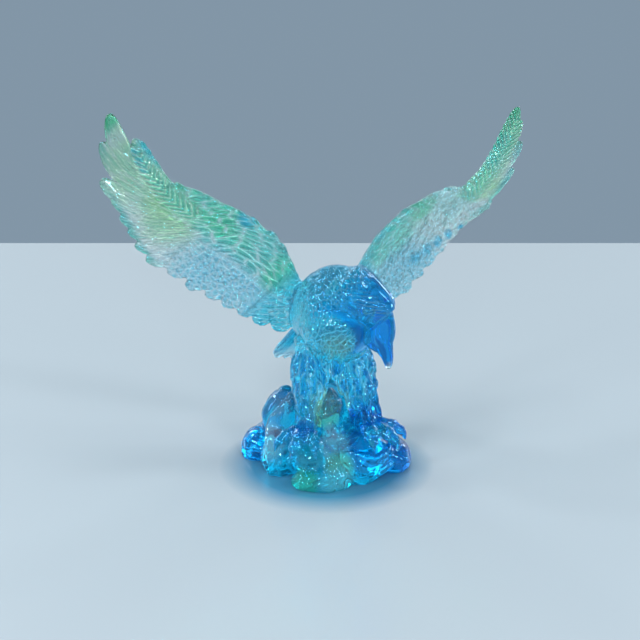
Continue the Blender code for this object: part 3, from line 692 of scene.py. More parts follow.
def feather(clay, place, root, tip, width, thickness, lift=(0.0, 0.0), tilt=0.0, bow=0.0,
            shape=FEATHER_SHAPE, shaft=1.0, rim=0.0):
    """A feather with a raised shaft and rim on each face."""
    root = np.array(root, float)
    tip = np.array(tip, float)
    run = tip - root
    side = row(-run[1], run[0])
    length = np.linalg.norm(run)
    share = np.linspace(0.0, 0.995, max(8, int(length / DRAWN_STEP)))[:, None]
    middle = bowed(root, tip, bow, share)
    heading = unit(run + side * bow * 4 * (1 - 2 * share))
    across = np.stack([-heading[:, 1], heading[:, 0]], axis=-1)
    half = np.maximum(width / 2 * outline(share, *shape), LEAST_HALF_WIDTH)
    count = max(5, int(width / DRAWN_STEP))
    out = -np.cos(np.linspace(0.0, math.pi, count))[None, :]
    thick = thickness / 2 * (1 - np.abs(out) ** 4) ** 0.5 * (1 - TIP_THINNING * rise(0.75, 1.0, share))
    fade = (1 - np.abs(out) ** 6) * rise(0.0, 0.12, share) * fall(0.93, 1.0, share)
    relief = shaft * SHAFT_HEIGHT * bump(0.0, SHAFT_WIDTH, np.abs(out) * half)
    relief = relief + rim * RIM_HEIGHT * bump(*RIM_PLACE, np.abs(out))
    thick = np.maximum(thick + relief * fade, LEAST_HALF_THICKNESS)
    level = lift[0] + (lift[1] - lift[0]) * share + tilt * out * half
    plan = middle[:, None, :] + across[:, None, :] * (out * half)[..., None]
    top = place(plan, level + thick)
    under = place(plan, level - thick)
    clay.add_loft(np.concatenate([top, under[:, -2:0:-1]], axis=1))


def lock(clay, place, root, swing):
    """A lock of plumage with a raised tip."""
    tip = row(*root) + row(LOCK_LENGTH, swing * LOCK_LENGTH)
    feather(clay, place, root, tip, LOCK_LENGTH * LOCK_WIDTH, FEATHER_THICKNESS * LOCK_THICKNESS,
            lift=row(*LOCK_LIFT) * FEATHER_THICKNESS, bow=swing * LOCK_BOW, shape=LOCK_SHAPE, shaft=0.8)


class Wing:
    """A raised wing: a cupped surface that bends at its tip, with bones, flight feathers and coverts."""

    def __init__(self, body, plan):
        shoulder = np.array(plan["shoulder"])
        self.shoulder = body.place(shoulder, BODY_LENGTH)
        self.root = body.place(row(*WING_ROOT) * row(1.0, *shoulder[1:]), BODY_LENGTH)
        self.span = np.array(plan["span"])
        self.chord = np.array(plan["chord"])
        self.normal = unit(np.cross(self.span, self.chord)) * plan["front"]
        self.crushed = plan["crushed"]
        self.barbed_width = plan["barbed_width"] * WING_LENGTH * FEATHER_WIDTH
        self.bones, self.tips, self.hand, self.edge, self.barbed = (
            np.array(plan[key]) * WING_LENGTH for key in ("bones", "tips", "hand", "edge", "barbed"))

    def cup(self, plan):
        """How high the wing's middle surface lies over its flat plan."""
        out = plan[..., 0] / WING_LENGTH
        back = plan[..., 1] / WING_LENGTH
        cup = WING_CUP * (1 - ((back - CUP_MIDDLE) / CUP_HALF_WIDTH) ** 2)
        bend = TIP_BEND * (np.maximum(0.0, out - BEND_START) / (1 - BEND_START)) ** 2
        return WING_LENGTH * (bend - cup)

    def place(self, plan, height):
        level = np.asarray(height + self.cup(plan))[..., None]
        flat = self.shoulder + plan[..., :1] * self.span + plan[..., 1:2] * self.chord
        return flat + level * self.normal

    def plan_of(self, points):
        """The plan places and the heights over the middle surface of points."""
        axes = np.column_stack([self.span, self.chord, self.normal])
        flat = (points - self.shoulder) @ np.linalg.inv(axes).T
        return flat[:, :2], flat[:, 2] - self.cup(flat[:, :2])

    def bow(self, share):
        return FIRST_BOW + (LAST_BOW - FIRST_BOW) * share

    def feather(self, clay, root, tip, width, thickness, **shape):
        feather(clay, self.place, root, tip, width * WING_LENGTH * FEATHER_WIDTH,
                thickness * FEATHER_THICKNESS, **shape)

    def build(self, clay):
        self.build_bones(clay)
        self.build_flight_feathers(clay)
        self.build_coverts(clay)
        self.build_leading_edge(clay)

    def build_bones(self, clay):
        """The thick leading edge, from inside the breast to the hand."""
        rows = smooth(self.bones, 8)
        share = np.linspace(0.0, 1.0, len(rows))
        thick = WING_THICKNESS * (1 - 0.72 * share)
        centres = np.vstack([self.root, self.place(rows, np.zeros(len(rows)))])
        wide = np.concatenate([[WING_THICKNESS * 0.9], thick * 0.5])
        high = np.concatenate([[WING_THICKNESS * 1.1], WING_THICKNESS * 0.35 + thick * 0.6])
        Tube(centres, wide, high, self.normal).build(clay, sides=24)

    def build_flight_feathers(self, clay):
        for i, tip in enumerate(self.tips):
            share = i / (len(self.tips) - 1)
            root = along(self.bones, 1 - share) + row(0.0, FLIGHT_ROOT * WING_LENGTH)
            width = FINGER_WIDTH + (1 - FINGER_WIDTH) * rise(*FINGER_RUN, share)
            self.feather(clay, root, tip, width, 1.0, tilt=FEATHER_TILT, bow=self.bow(share))

    def build_coverts(self, clay):
        """Rows of feathers that lie along the bones and turn to the flight feathers near the hand."""
        for back, length, turn, thick, width, count in COVERT_ROWS:
            for i in range(count):
                share = (i + 0.5) / count * COVERT_SPAN
                bone = along(self.bones, share)
                run = unit(along(self.bones, share + 0.05) - along(self.bones, share - 0.05))
                flight = unit(along(self.tips, 1 - share) - bone)
                turned = turn + (COVERT_TURN_AT_HAND - turn) * share**2
                heading = unit(run + (flight - run) * turned)
                root = bone + row(-run[1], run[0]) * back * WING_LENGTH
                tip = root + heading * length * WING_LENGTH
                self.feather(clay, root, tip, width, thick, tilt=FEATHER_TILT, shape=COVERT_SHAPE,
                             rim=1.0, shaft=0.0)

    def build_leading_edge(self, clay):
        """The feather over the hand and the short ones that step along the bones."""
        lift = FEATHER_THICKNESS * HAND_LIFT
        self.feather(clay, *self.hand, HAND_WIDTH, HAND_THICKNESS, lift=(lift, lift), bow=HAND_BOW)
        for tip in self.edge:
            root = tip - row(*EDGE_FEATHER_RUN) * WING_LENGTH
            self.feather(clay, root, tip, EDGE_WIDTH, EDGE_THICKNESS)


def build_rock(clay, size):
    rng = random.Random(ROCK_SEED)
    for centre, half, corners in BOULDERS:
        boulder(clay, row(*centre) * size, row(*half) * size, corners, rng)
    for points, side, wide, high in FOLDS:
        centres = smooth(points, 8) * size
        bulge = np.sin(math.pi * np.linspace(0.0, 1.0, len(centres)))
        taper = ROCK_WIDTH * (FOLD_ENDS + (1 - FOLD_ENDS) * bulge)
        Tube(centres, wide * taper, high * taper, row(*side)).build(clay, sides=24)


def build_body(clay, body):
    framed_tube(body, BODY_STATIONS, BODY_LENGTH).build(clay)
    belly = framed_tube(body, BELLY_STATIONS, BODY_LENGTH)
    belly.build(clay)
    hang_locks(clay, belly, BELLY_LOCKS)


def hang_locks(clay, tube, rows):
    """Rows of locks that hang down a body part."""
    def place(plan, height):
        return tube.point(plan[..., 0], plan[..., 1] / tube.radius, height)

    rng = random.Random(len(rows))
    for start, first, last, count in rows:
        for i in range(count):
            angle = math.radians(first + (last - first) * i / (count - 1))
            root = (start * tube.marks[-1], angle * tube.radius)
            lock(clay, place, root, rng.uniform(-LOCK_SWING, LOCK_SWING))


def head_frame(body):
    return Frame(body.place(SKULL_PLACE, BODY_LENGTH), HEAD_TURN, HEAD_DIP)


def build_head(clay, head):
    framed_tube(head, SKULL_STATIONS, HEAD_LENGTH).build(clay)
    framed_tube(head, UPPER_BEAK, HEAD_LENGTH, BEAK_DEPTH).build(clay, sides=40)
    framed_tube(head, LOWER_BEAK, HEAD_LENGTH, BEAK_DEPTH).build(clay, sides=32)
    for side in (-1, 1):
        ridge = smooth(BROW, 6) * HEAD_LENGTH
        centres = [head.at(forward, side * out, up) for forward, up, out in ridge[:, :3]]
        Tube(centres, ridge[:, 3], ridge[:, 3], head.left).build(clay, sides=20)
        ball = bmesh.new()
        bmesh.ops.create_icosphere(ball, subdivisions=3, radius=EYE_RADIUS * HEAD_LENGTH)
        forward, up, out = row(*EYE) * HEAD_LENGTH
        centre = head.at(forward, side * out, up)
        clay.add_mixed([centre + row(*vert.co) for vert in ball.verts],
                       [[vert.index for vert in face.verts] for face in ball.faces])
        ball.free()


def build_tail(clay, body):
    """A fan of feathers that slopes down and back from the rump."""
    rump = body.place(RUMP, BODY_LENGTH)
    dip = math.radians(TAIL_DIP)
    back = -body.forward * math.cos(dip) - body.up * math.sin(dip)
    above = np.cross(body.left, back)

    def place(plan, height):
        level = np.asarray(height)[..., None]
        return rump + plan[..., :1] * back + plan[..., 1:2] * body.left + level * above

    width = TAIL_WIDTH * TAIL_OVERLAP / TAIL_FEATHERS
    for i in range(TAIL_FEATHERS):
        spread = 2 * i / (TAIL_FEATHERS - 1) - 1
        tip = (TAIL_LENGTH * (1 - TAIL_ROUNDING * spread**2), (TAIL_WIDTH - width) / 2 * spread)
        feather(clay, place, (0.0, tip[1] * TAIL_ROOT), tip, width, FEATHER_THICKNESS * TAIL_THICKNESS,
                shape=TAIL_SHAPE)


def build_leg(clay, body, plan, rock):
    """A feathered leg from the hip to the rock, with three toes in front, one behind, and claws."""
    foot = row(*plan["foot"]) * rock
    hip = body.place((HIP[0], plan["hip"], HIP[1]), BODY_LENGTH)
    thick = LEG_THICKNESS * plan["girth"]
    taper = smooth(LEG_TAPER, 8)
    knee = np.sin(math.pi * taper[:, :1]) * body.forward * LEG_THICKNESS * KNEE_BEND
    centres = hip + (foot - hip) * taper[:, :1] + knee
    leg = Tube(centres, thick * taper[:, 1] / 2, LEG_THICKNESS * taper[:, 1] / 2, body.left)
    leg.build(clay)
    hang_locks(clay, leg, LEG_LOCKS)
    for spread, share in TOES:
        heading = Frame(foot, BODY_TURN + plan["turn"] + spread)
        shape = smooth(TOE_SHAPE, 8)
        centres = [heading.at(out * share * TOE_LENGTH + thick * TOE_ROOT, 0.0, up * TOE_LENGTH)
                   for out, up in shape[:, :2]]
        knuckles = 1 + KNUCKLE_HEIGHT * np.cos(shape[:, 0] * math.tau * KNUCKLES)
        radius = np.maximum(shape[:, 2] * TOE_LENGTH * knuckles, LEAST_TOE_RADIUS)
        Tube(centres, radius, radius * TOE_FLATNESS, heading.left).build(clay, sides=20)


def fused(clay, voxel, relaxing):
    """The overlapping shapes as one skin."""
    obj = clay.object("eagle_clay")
    skin = obj.modifiers.new("skin", "REMESH")
    skin.mode = "VOXEL"
    skin.voxel_size = voxel
    relax = obj.modifiers.new("relax", "SMOOTH")
    relax.factor = 0.5
    relax.iterations = relaxing
    return applied(obj)


def applied(obj):
    """The object's evaluated mesh as a new object in its place."""
    view = obj.evaluated_get(bpy.context.evaluated_depsgraph_get())
    mesh = bpy.data.meshes.new_from_object(view)
    name = obj.name
    bpy.data.objects.remove(obj)
    return new_object(name, mesh)


def keep_largest_shell(mesh):
    """Specks that lie apart from the skin are dropped."""
    bm = bmesh.new()
    bm.from_mesh(mesh)
    left = set(bm.verts)
    shells = []
    while left:
        queue = [left.pop()]
        shell = set(queue)
        while queue:
            for edge in queue.pop().link_edges:
                fresh = set(edge.verts) - shell
                shell |= fresh
                queue.extend(fresh)
        left -= shell
        shells.append(shell)
    skin = max(shells, key=len)
    bmesh.ops.delete(bm, geom=[vert for vert in bm.verts if vert not in skin], context="VERTS")
    bm.to_mesh(mesh)
    bm.free()


def vectors_of(items, name):
    flat = np.empty(len(items) * 3)
    items.foreach_get(name, flat)
    return flat.reshape(-1, 3)


def noise_at(points, scale):
    """Smooth noise from -1 to 1 at points, with one scale or one for each axis, in metres."""
    return np.array([noise.noise(Vector(point)) for point in (points / np.array(scale)).tolist()])


def chips_at(points, scale):
    """Dishes with sharp ridges between them, from -0.5 in the middle of a dish to about 0.5."""
    away = [noise.voronoi(Vector(point))[0][0] for point in (points / np.array(scale)).tolist()]
    return np.minimum(np.array(away) ** 2, 1.0) - 0.5


class Lay:
    """How a wing's feathers lie: how near the wing points are, at which feather, and how far along it."""

    def __init__(self, wing, points):
        self.wing = wing
        self.plan, self.height = wing.plan_of(points)
        tree = kdtree.KDTree(GRAIN_FEATHERS * GRAIN_STEPS)
        grid = []
        for share in np.linspace(0.0, 1.0, GRAIN_FEATHERS):
            root = along(wing.bones, 1 - share)
            tip = along(wing.tips, share)
            for reach in np.linspace(0.0, GRAIN_REACH, GRAIN_STEPS):
                spot = bowed(root, tip, wing.bow(share), reach)
                tree.insert((spot[0], spot[1], 0.0), len(grid))
                grid.append((share, reach))
        tree.balance()
        found = [tree.find((x, y, 0.0)) for x, y in self.plan.tolist()]
        values = np.array([grid[item[1]] for item in found])
        far = np.array([item[2] for item in found])
        self.share = values[:, 0]
        self.reach = values[:, 1]
        self.span = self.plan[:, 0] / WING_LENGTH
        self.here = (fall(*NEAR_FEATHER, far) * fall(*NEAR_SURFACE, np.abs(self.height))
                     * rise(*SPAN_START, self.span))
        self.hand, self.barbs, across = self.find_hand()
        self.net = self.find_net(across)

    def find_hand(self):
        """Where the barbed feather lies, its barbs from 0 to 1, and places for them in the net."""
        root, tip = self.wing.barbed
        run = tip - root
        length = np.linalg.norm(run)
        share = (self.plan - root) @ run / length**2
        bow = HAND_BOW * length * 4 * share * (1 - share)
        off = (self.plan - root) @ row(-run[1], run[0]) / length - bow
        half = self.wing.barbed_width / 2
        inside = rise(0.0, 0.05, share) * fall(0.95, 1.0, share) * fall(0.75, 1.0, np.abs(off) / half)
        phase = (share * length - np.abs(off) * BARB_SLANT) / BARB_PITCH
        places = np.stack([off / half * BARB_SPREAD, phase], axis=-1)
        return self.here * inside, 0.5 - 0.5 * np.cos(math.tau * phase), places

    def find_net(self, barbs):
        """Places for the net of ridges over the wing, its strength, and how uneven its cells are."""
        bones = smooth(self.wing.bones, 8)
        away = np.linalg.norm(self.plan[:, None, :] - bones[None, :, :], axis=2)
        off = self.plan[:, 1] - bones[np.argmin(away, axis=1), 1]
        turn = math.radians(NET_TURN)
        net = np.zeros((len(off), 4))
        net[:, 2] = self.here
        net[:, 0] = (self.plan[:, 0] * math.cos(turn) + off * math.sin(turn)) / NET_CELL[0]
        net[:, 1] = (off * math.cos(turn) - self.plan[:, 0] * math.sin(turn)) / NET_CELL[1]
        flight = self.reach > COVERT_EDGE
        net[flight, 0] = self.reach[flight] * NET_STRANDS[0]
        net[flight, 1] = self.share[flight] * NET_STRANDS[1]
        net[flight, 2] *= FLIGHT_NET
        crushed = (self.reach > self.wing.crushed[0]) & (self.span < self.wing.crushed[1])
        net[crushed, 2] = CRUSHED_NET * self.here[crushed]
        net[crushed, 0] = self.plan[crushed, 0] / CRUSHED_CELL[0]
        net[crushed, 1] = self.plan[crushed, 1] / CRUSHED_CELL[1]
        hand = self.hand > BARBS_FROM
        net[hand, :2] = barbs[hand]
        net[hand, 2] = self.here[hand]
        net[:, 2] *= (1 - bump(COVERT_EDGE, 0.015, self.reach)) * (1 - bump(BARBS_FROM, 0.15, self.hand))
        net[:, 3] = np.where(hand, 0.0, 1.0)
        return net

    def relief(self, points):
        """How high the carving stands over the wing's skin."""
        first, last = self.wing.crushed
        unbarbed = 1 - self.hand
        outer = rise(COVERT_EDGE, COVERT_EDGE + 0.12, self.reach) * unbarbed
        lumpy = rise(first, first + 0.12, self.reach) * fall(last, last + 0.15, self.span) * unbarbed
        strands = np.cos(math.tau * self.share * RELIEF_STRANDS)
        high = BARB_DEPTH * self.hand * self.barbs
        high += STRAND_DEPTH * np.maximum(outer - lumpy, 0.0) * strands
        high += LUMP_DEPTH * lumpy * chips_at(points, LUMP_GRAIN)
        high += BORDER_HEIGHT * bump(COVERT_EDGE, BORDER_WIDTH, self.reach) * fall(*BORDER_END, self.span)
        return high * self.here


def face_of(points, head, first, last):
    """How far each point lies in the bare face, which begins from `first` to `last` along the head."""
    ahead, aside, above = (head.seen(points) / HEAD_LENGTH).T
    past = np.abs(aside) - np.interp(ahead, *zip(*FACE))
    return rise(first, last, ahead) * fall(0.0, FACE_FADE, past) * rise(*FACE_BOTTOM, above)


def rock_of(points, first=0.85, last=1.05):
    """How far each point lies in the rock, which ends from `first` to `last` of its height."""
    return fall(ROCK_HEIGHT * first, ROCK_HEIGHT * last, points[:, 2])


def plumage_of(points, lays, head):
    """How far each point lies in the plumage of the neck, belly and legs."""
    others = sum(lay.here for lay in lays) + face_of(points, head, -0.22, -0.02) + rock_of(points)
    return np.clip(1 - others - tail_of(points), 0.0, 1.0)


def thigh_of(points):
    return fall(*THIGH_TOP, points[:, 2]) * (1 - tail_of(points))


def tail_of(points):
    return rise(*TAIL_START, points[:, 1]) * fall(*TAIL_TOP, points[:, 2])


def flames_at(points):
    return ridged(noise_at(points, FLAME_GRAIN))


def carve(points, normals, lays, head):
    """Small relief over the fused skin: feathers, plumage, thighs, face and creased rock."""
    plumage = plumage_of(points, lays, head)
    thigh = plumage * thigh_of(points)
    push = PLUMAGE_DEPTH * (plumage - thigh) * ridged(noise_at(points, PLUMAGE_GRAIN))
    push += FLAME_DEPTH * thigh * flames_at(points)
    crease = bump(0.0, CREASE_WIDTH, noise_at(points, CREASE_GRAIN))
    worked = rock_of(points) * rise(*ROCK_FOOT, points[:, 2])
    worked *= 1 - SMOOTHING * rise(*SMOOTH_ENDS, np.abs(points[:, 0]))
    push += worked * (CHIP_DEPTH * chips_at(points, CHIP_GRAIN) - CREASE_DEPTH * crease)
    push += sum(lay.relief(points) for lay in lays)
    push += face_relief(*(head.seen(points) / HEAD_LENGTH).T)
    return points + normals * push[:, None]


def brow_of(ahead, aside, above):
    """How far a point lies on a brow, and the brow's fine ridges from -1 to 1."""
    brow = bump(*BROW_AHEAD, ahead) * bump(*BROW_ASIDE, np.abs(aside)) * bump(*BROW_ABOVE, above)
    return brow, np.cos(math.tau * (above - BROW_SLANT * ahead) / BROW_RIDGE)


def face_relief(ahead, aside, above):
    """Fine ridges over the brows, and the line of the closed beak."""
    brow, ridges = brow_of(ahead, aside, above)
    line = np.interp(ahead, *zip(*BEAK_LINE))
    closed = rise(*BEAK_LINE_START, ahead) * fall(*BEAK_LINE_END, ahead)
    closed *= fall(*BEAK_LINE_REACH, np.abs(aside)) * bump(line, BEAK_LINE_WIDTH, above)
    return BROW_RIDGE_DEPTH * brow * ridges - BEAK_LINE_DEPTH * closed


def ridged(values):
    """Noise folded into crests, from about -0.5 to 0.5."""
    return 0.5 - 2 * np.abs(values)


def painted(colour, coats):
    """Colours under coats of other colours, each with its share at every point."""
    for tone, share in coats:
        colour = colour + (np.array(tone) - colour) * share[:, None]
    return colour


def wing_tint(lay, spots):
    """The colours along a wing: teal coverts, ice-blue inner feathers, clear outer ones, green tips."""
    span = lay.span
    reach = lay.reach
    coats = [
        (CLEAR, rise(0.30, 0.50, span)),
        (GREY_GREEN, rise(0.62, 0.80, span) * fall(0.80, 0.95, reach)),
        (YELLOW_GREEN, 0.8 * bump(0.64, 0.19, span) * bump(0.38, 0.17, reach)),
        (TEAL, fall(0.22, 0.42, reach) * fall(0.55, 0.75, span)),
        (GREEN, 0.6 * bump(0.45, 0.25, span) * bump(0.12, 0.14, reach)),
        (SEA_TEAL, 0.8 * rise(0.88, 0.96, reach) * rise(0.40, 0.50, span)),
        (GREEN, rise(0.93, 0.98, span)),
        # A painted highlight along the raised border where the coverts end
        (CLEAR, 0.5 * bump(COVERT_EDGE, 0.025, reach) * fall(0.5, 0.6, span)),
    ]
    for (out, back), radius, amount, tone in spots:
        away = np.hypot(span - out, lay.plan[:, 1] / WING_LENGTH - back)
        coats.append((tone, amount * fall(radius * 0.4, radius, away)))
    coats.append((SEA_TEAL, 0.5 * lay.hand * (1 - lay.barbs)))
    coats.append((PALE_GREEN, lay.hand * lay.barbs * (1 - 0.5 * rise(0.70, 0.80, span))))
    return painted(np.tile(ICE_BLUE, (len(span), 1)), coats)


def tint(points, lays, head):
    """The crystal's colour at each point, painted highlights and shade included."""
    coats = [(SKY_BLUE, np.maximum(rock_of(points, 0.8, 1.1), fall(*LEG_BLUE, points[:, 2])))]
    for place, radius, tone in BODY_SPOTS:
        away = np.linalg.norm(points - row(*place), axis=1)
        coats.append((tone, fall(radius * 0.5, radius, away)))
    thigh = plumage_of(points, lays, head) * thigh_of(points)
    flames = flames_at(points)
    seen = head.seen(points) / HEAD_LENGTH
    face = face_of(points, head, -0.40, -0.08)
    brow, ridges = brow_of(*seen.T)
    coats += [
        # Painted highlights on the crests of the thighs' flames and painted shade in the grooves between
        # them
        (CLEAR, 0.6 * thigh * rise(0.15, 0.45, flames)),
        (DEEP_BLUE, 0.7 * thigh * fall(-0.25, 0.05, flames)),
        (DEEP_BLUE, face),
        (CLEAR, face * rise(0.69, 0.74, seen[:, 0])),
        # Painted highlights along the brows' fine ridges
        (CLEAR, brow * rise(0.2, 0.9, ridges)),
    ]
    for lay, spots in zip(lays, (RIGHT_WING_SPOTS, LEFT_WING_SPOTS)):
        coats.append((wing_tint(lay, spots), lay.here))
    return painted(np.tile(BODY_TEAL, (len(points), 1)), coats)


def grain(points, lays, head):
    """Places for the strands' noise, stretched along the feathers, and the strands' strength."""
    values = np.ones((len(points), 4))
    values[:, :3] = points / row(*PLUMAGE_STRAND)
    plumed = (1 - face_of(points, head, -0.15, 0.05)) * (1 - rock_of(points, 0.7, 1.05))
    plumed *= (1 - 0.8 * thigh_of(points)) * (1 - tail_of(points))
    values[:, 3] = SMOOTH_STRANDS + PLUMED_STRANDS * plumed
    for lay in lays:
        wing = lay.here > 0.5
        values[wing, 0] = lay.share[wing] * WING_STRANDS
        values[wing, 1] = lay.reach[wing] * STRAND_BREAKS
        values[wing, 2] = lay.height[wing] / STRAND_LAYER
        values[wing, 3] = 1.0
    return values


def pebbles(points, lays, head, body):
    """Places for the net around the neck and belly, where it draws small round feathers, its strength,
    and how uneven its cells are."""
    middle = body.place(NECK_MIDDLE, BODY_LENGTH)
    angle = np.arctan2(points[:, 0] - middle[0], middle[1] - points[:, 1])
    net = np.zeros((len(points), 4))
    net[:, 0] = angle * NECK_RADIUS / PEBBLE[0]
    net[:, 1] = points[:, 2] / PEBBLE[1]
    net[:, 2] = PEBBLE_NET * plumage_of(points, lays, head) * fall(*NAPE, np.abs(angle))
    net[:, 2] *= 1 - thigh_of(points)
    net[:, 3] = 1.0
    return net


def build_eagle():
    rock = row(ROCK_WIDTH, ROCK_DEPTH, ROCK_HEIGHT)
    stand = (row(*RIGHT_LEG["foot"]) + row(*LEFT_LEG["foot"])) / 2 * rock
    body = Frame(stand + rock * row(*BODY_OFFSET, 0.0) + row(0.0, 0.0, LEG_LENGTH), BODY_TURN)
    head = head_frame(body)
    wings = [Wing(body, RIGHT_WING), Wing(body, LEFT_WING)]
    boulders = Clay()
    build_rock(boulders, rock)
    melted = fused(boulders, ROCK_VOXEL, ROCK_RELAXING)
    clay = Clay()
    faces = [list(face.vertices) for face in melted.data.polygons]
    clay.add_mixed([vert.co for vert in melted.data.vertices], faces)
    bpy.data.objects.remove(melted)
    build_body(clay, body)
    build_head(clay, head)
    build_tail(clay, body)
    build_leg(clay, body, RIGHT_LEG, rock)
    build_leg(clay, body, LEFT_LEG, rock)
    for wing in wings:
        wing.build(clay)
    obj = fused(clay, VOXEL, RELAXING)
    points = vectors_of(obj.data.vertices, "co")
    normals = vectors_of(obj.data.vertex_normals, "vector")
    lays = [Lay(wing, points) for wing in wings]
    points = carve(points, normals, lays, head)
    faces_down = normals[:, 2] < -0.7
    points[(points[:, 2] < UNDERSIDE_BAND) & faces_down, 2] = 0.0
    points[:, 2] = np.maximum(points[:, 2], 0.0)
    obj.data.vertices.foreach_set("co", points.ravel())
    fewer = obj.modifiers.new("fewer", "DECIMATE")
    fewer.ratio = MOST_TRIANGLES / (2 * len(obj.data.polygons))
    obj = applied(obj)
    obj.name = "crystal_eagle_casting"
    keep_largest_shell(obj.data)
    points = vectors_of(obj.data.vertices, "co")
    lays = [Lay(wing, points) for wing in wings]
    colours = np.ones((len(points), 4))
    colours[:, :3] = np.clip(tint(points, lays, head), 0.0, 1.0)
    net = pebbles(points, lays, head, body)
    for lay in lays:
        wing = lay.here > 0.5
        net[wing] = lay.net[wing]
    for name, values in (("tint", colours), ("grain", grain(points, lays, head)), ("net", net)):
        layer = obj.data.color_attributes.new(name, "FLOAT_COLOR", "POINT")
        layer.data.foreach_set("color", values.ravel())
    obj.data.shade_smooth()
    obj.data.materials.clear()
    obj.data.materials.append(crystal())
    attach(obj, "root")
    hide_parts("crystal_eagle")
    return obj


def build_bubbles(eagle):
    """Small round air bubbles sealed in the crystal, kept clear of its skin."""
    rng = random.Random(BUBBLE_SEED)
    bubbles = bmesh.new()
    for centre, spread, count in BUBBLES:
        for _ in range(count):
            radius = rng.uniform(*BUBBLE_RADIUS)
            place = Vector([at + rng.uniform(-1, 1) * reach for at, reach in zip(centre, spread)])
            near, normal = eagle.closest_point_on_mesh(place)[1:3]
            if (near - place).dot(normal) > radius + BUBBLE_CLEARANCE:
                bmesh.ops.create_icosphere(bubbles, subdivisions=2, radius=radius,
                                           matrix=Matrix.Translation(place))
    for face in bubbles.faces:
        face.smooth = True
    obj = new_object("air_bubbles", mesh_of(bubbles, "air_bubbles"))
    obj.data.materials.append(new_material("trapped_air", AIR))
    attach(obj, "root")


def fill(tree, made, values):
    """Plain values and other nodes' outputs for a node's inputs."""
    for name, value in values.items():
        goal = made.inputs[name.replace("_", " ")]
        if isinstance(value, bpy.types.NodeSocket):
            tree.links.new(value, goal)
        else:
            goal.default_value = value


def new_material(name, values):
    material = bpy.data.materials.new(name)
    material.use_nodes = True
    fill(material.node_tree, material.node_tree.nodes["Principled BSDF"], values)
    return material


def node(tree, kind, **values):
    made = tree.nodes.new(kind)
    fill(tree, made, values)
    return made


def attribute(tree, name):
    """The outputs of one of the layers of values that the casting's points carry."""
    made = tree.nodes.new("ShaderNodeAttribute")
    made.attribute_name = name
    return made.outputs


def ramp(tree, value, low, high, first, last):
    """A node's value from `low` to `high` as one from `first` to `last`."""
    made = node(tree, "ShaderNodeMapRange", Value=value, From_Min=low, From_Max=high, To_Min=first,
                To_Max=last)
    return made.outputs["Result"]


def math_of(tree, operation, *values):
    made = tree.nodes.new("ShaderNodeMath")
    made.operation = operation
    for value, goal in zip(values, made.inputs):
        tree.links.new(value, goal)
    return made.outputs["Value"]


def colour_mix(tree, under, over, share, blend="MIX"):
    """A node's colour, mixed with a fixed one by a node's value."""
    made = tree.nodes.new("ShaderNodeMix")
    made.data_type = "RGBA"
    made.blend_type = blend
    made.inputs["B"].default_value = over
    tree.links.new(under, made.inputs["A"])
    tree.links.new(share, made.inputs["Factor"])
    return made.outputs["Result"]


def fixed_colour(tree, colour):
    made = tree.nodes.new("ShaderNodeRGB")
    made.outputs["Color"].default_value = colour
    return made.outputs["Color"]


def crystal():
    """Tinted see-through crystal: paler clouds, a net of ridges with painted highlights on them and
    painted shade in the cells between, and strands.
    """
    material = new_material("tinted_crystal", CRYSTAL)
    tree = material.node_tree
    grain = attribute(tree, "grain")
    net = attribute(tree, "net")
    cells = node(tree, "ShaderNodeTexVoronoi", Scale=1.0, Vector=net["Vector"], Randomness=net["Alpha"])
    cells.voronoi_dimensions = "2D"
    cells.feature = "DISTANCE_TO_EDGE"
    place = tree.nodes.new("ShaderNodeTexCoord").outputs["Object"]
    cloud = node(tree, "ShaderNodeTexNoise", Vector=place, Scale=CLOUD_SCALE, Detail=3.0, Roughness=0.6)

    strength = node(tree, "ShaderNodeSeparateXYZ", Vector=net["Vector"]).outputs["Z"]
    away = cells.outputs["Distance"]
    ridges = math_of(tree, "MULTIPLY", ramp(tree, away, 0.0, NET_WIDTH, 1.0, 0.0), strength)
    # Painted shade that darkens the net's cells between the ridges
    hollow_shade = ramp(tree, away, NET_WIDTH, 2 * NET_WIDTH, 0.0, HOLLOW_SHADE_STRENGTH)
    hollow_shade = math_of(tree, "MULTIPLY", hollow_shade, strength)
    clouds = ramp(tree, cloud.outputs["Fac"], 0.50, 0.75, 0.0, CLOUD_STRENGTH)
    clouds = math_of(tree, "MULTIPLY", clouds, grain["Alpha"])
    # Painted highlights that pale the net's ridges
    pale = ramp(tree, ridges, 0.0, 1.0, 0.0, RIDGE_HIGHLIGHT_STRENGTH)
    colour = colour_mix(tree, attribute(tree, "tint")["Color"], (*CLEAR, 1.0), clouds)
    colour = colour_mix(tree, colour, HOLLOW_SHADE_TONE, hollow_shade, blend="MULTIPLY")
    colour = colour_mix(tree, colour, (*CLEAR, 1.0), pale)

    strands = node(tree, "ShaderNodeTexNoise", Vector=grain["Vector"], Scale=1.0, Detail=1.5,
                   Roughness=0.6)
    fine = node(tree, "ShaderNodeBump", Distance=STRAND_BUMP, Strength=grain["Alpha"],
                Height=strands.outputs["Fac"])
    netted = node(tree, "ShaderNodeBump", Distance=NET_BUMP, Height=ridges, Normal=fine.outputs["Normal"])
    fill(tree, tree.nodes["Principled BSDF"], {"Base Color": colour, "Normal": netted.outputs["Normal"]})
    absorb = node(tree, "ShaderNodeVolumeAbsorption", **ABSORPTION)
    fill(tree, tree.nodes["Material Output"], {"Volume": absorb.outputs["Volume"]})
    return material


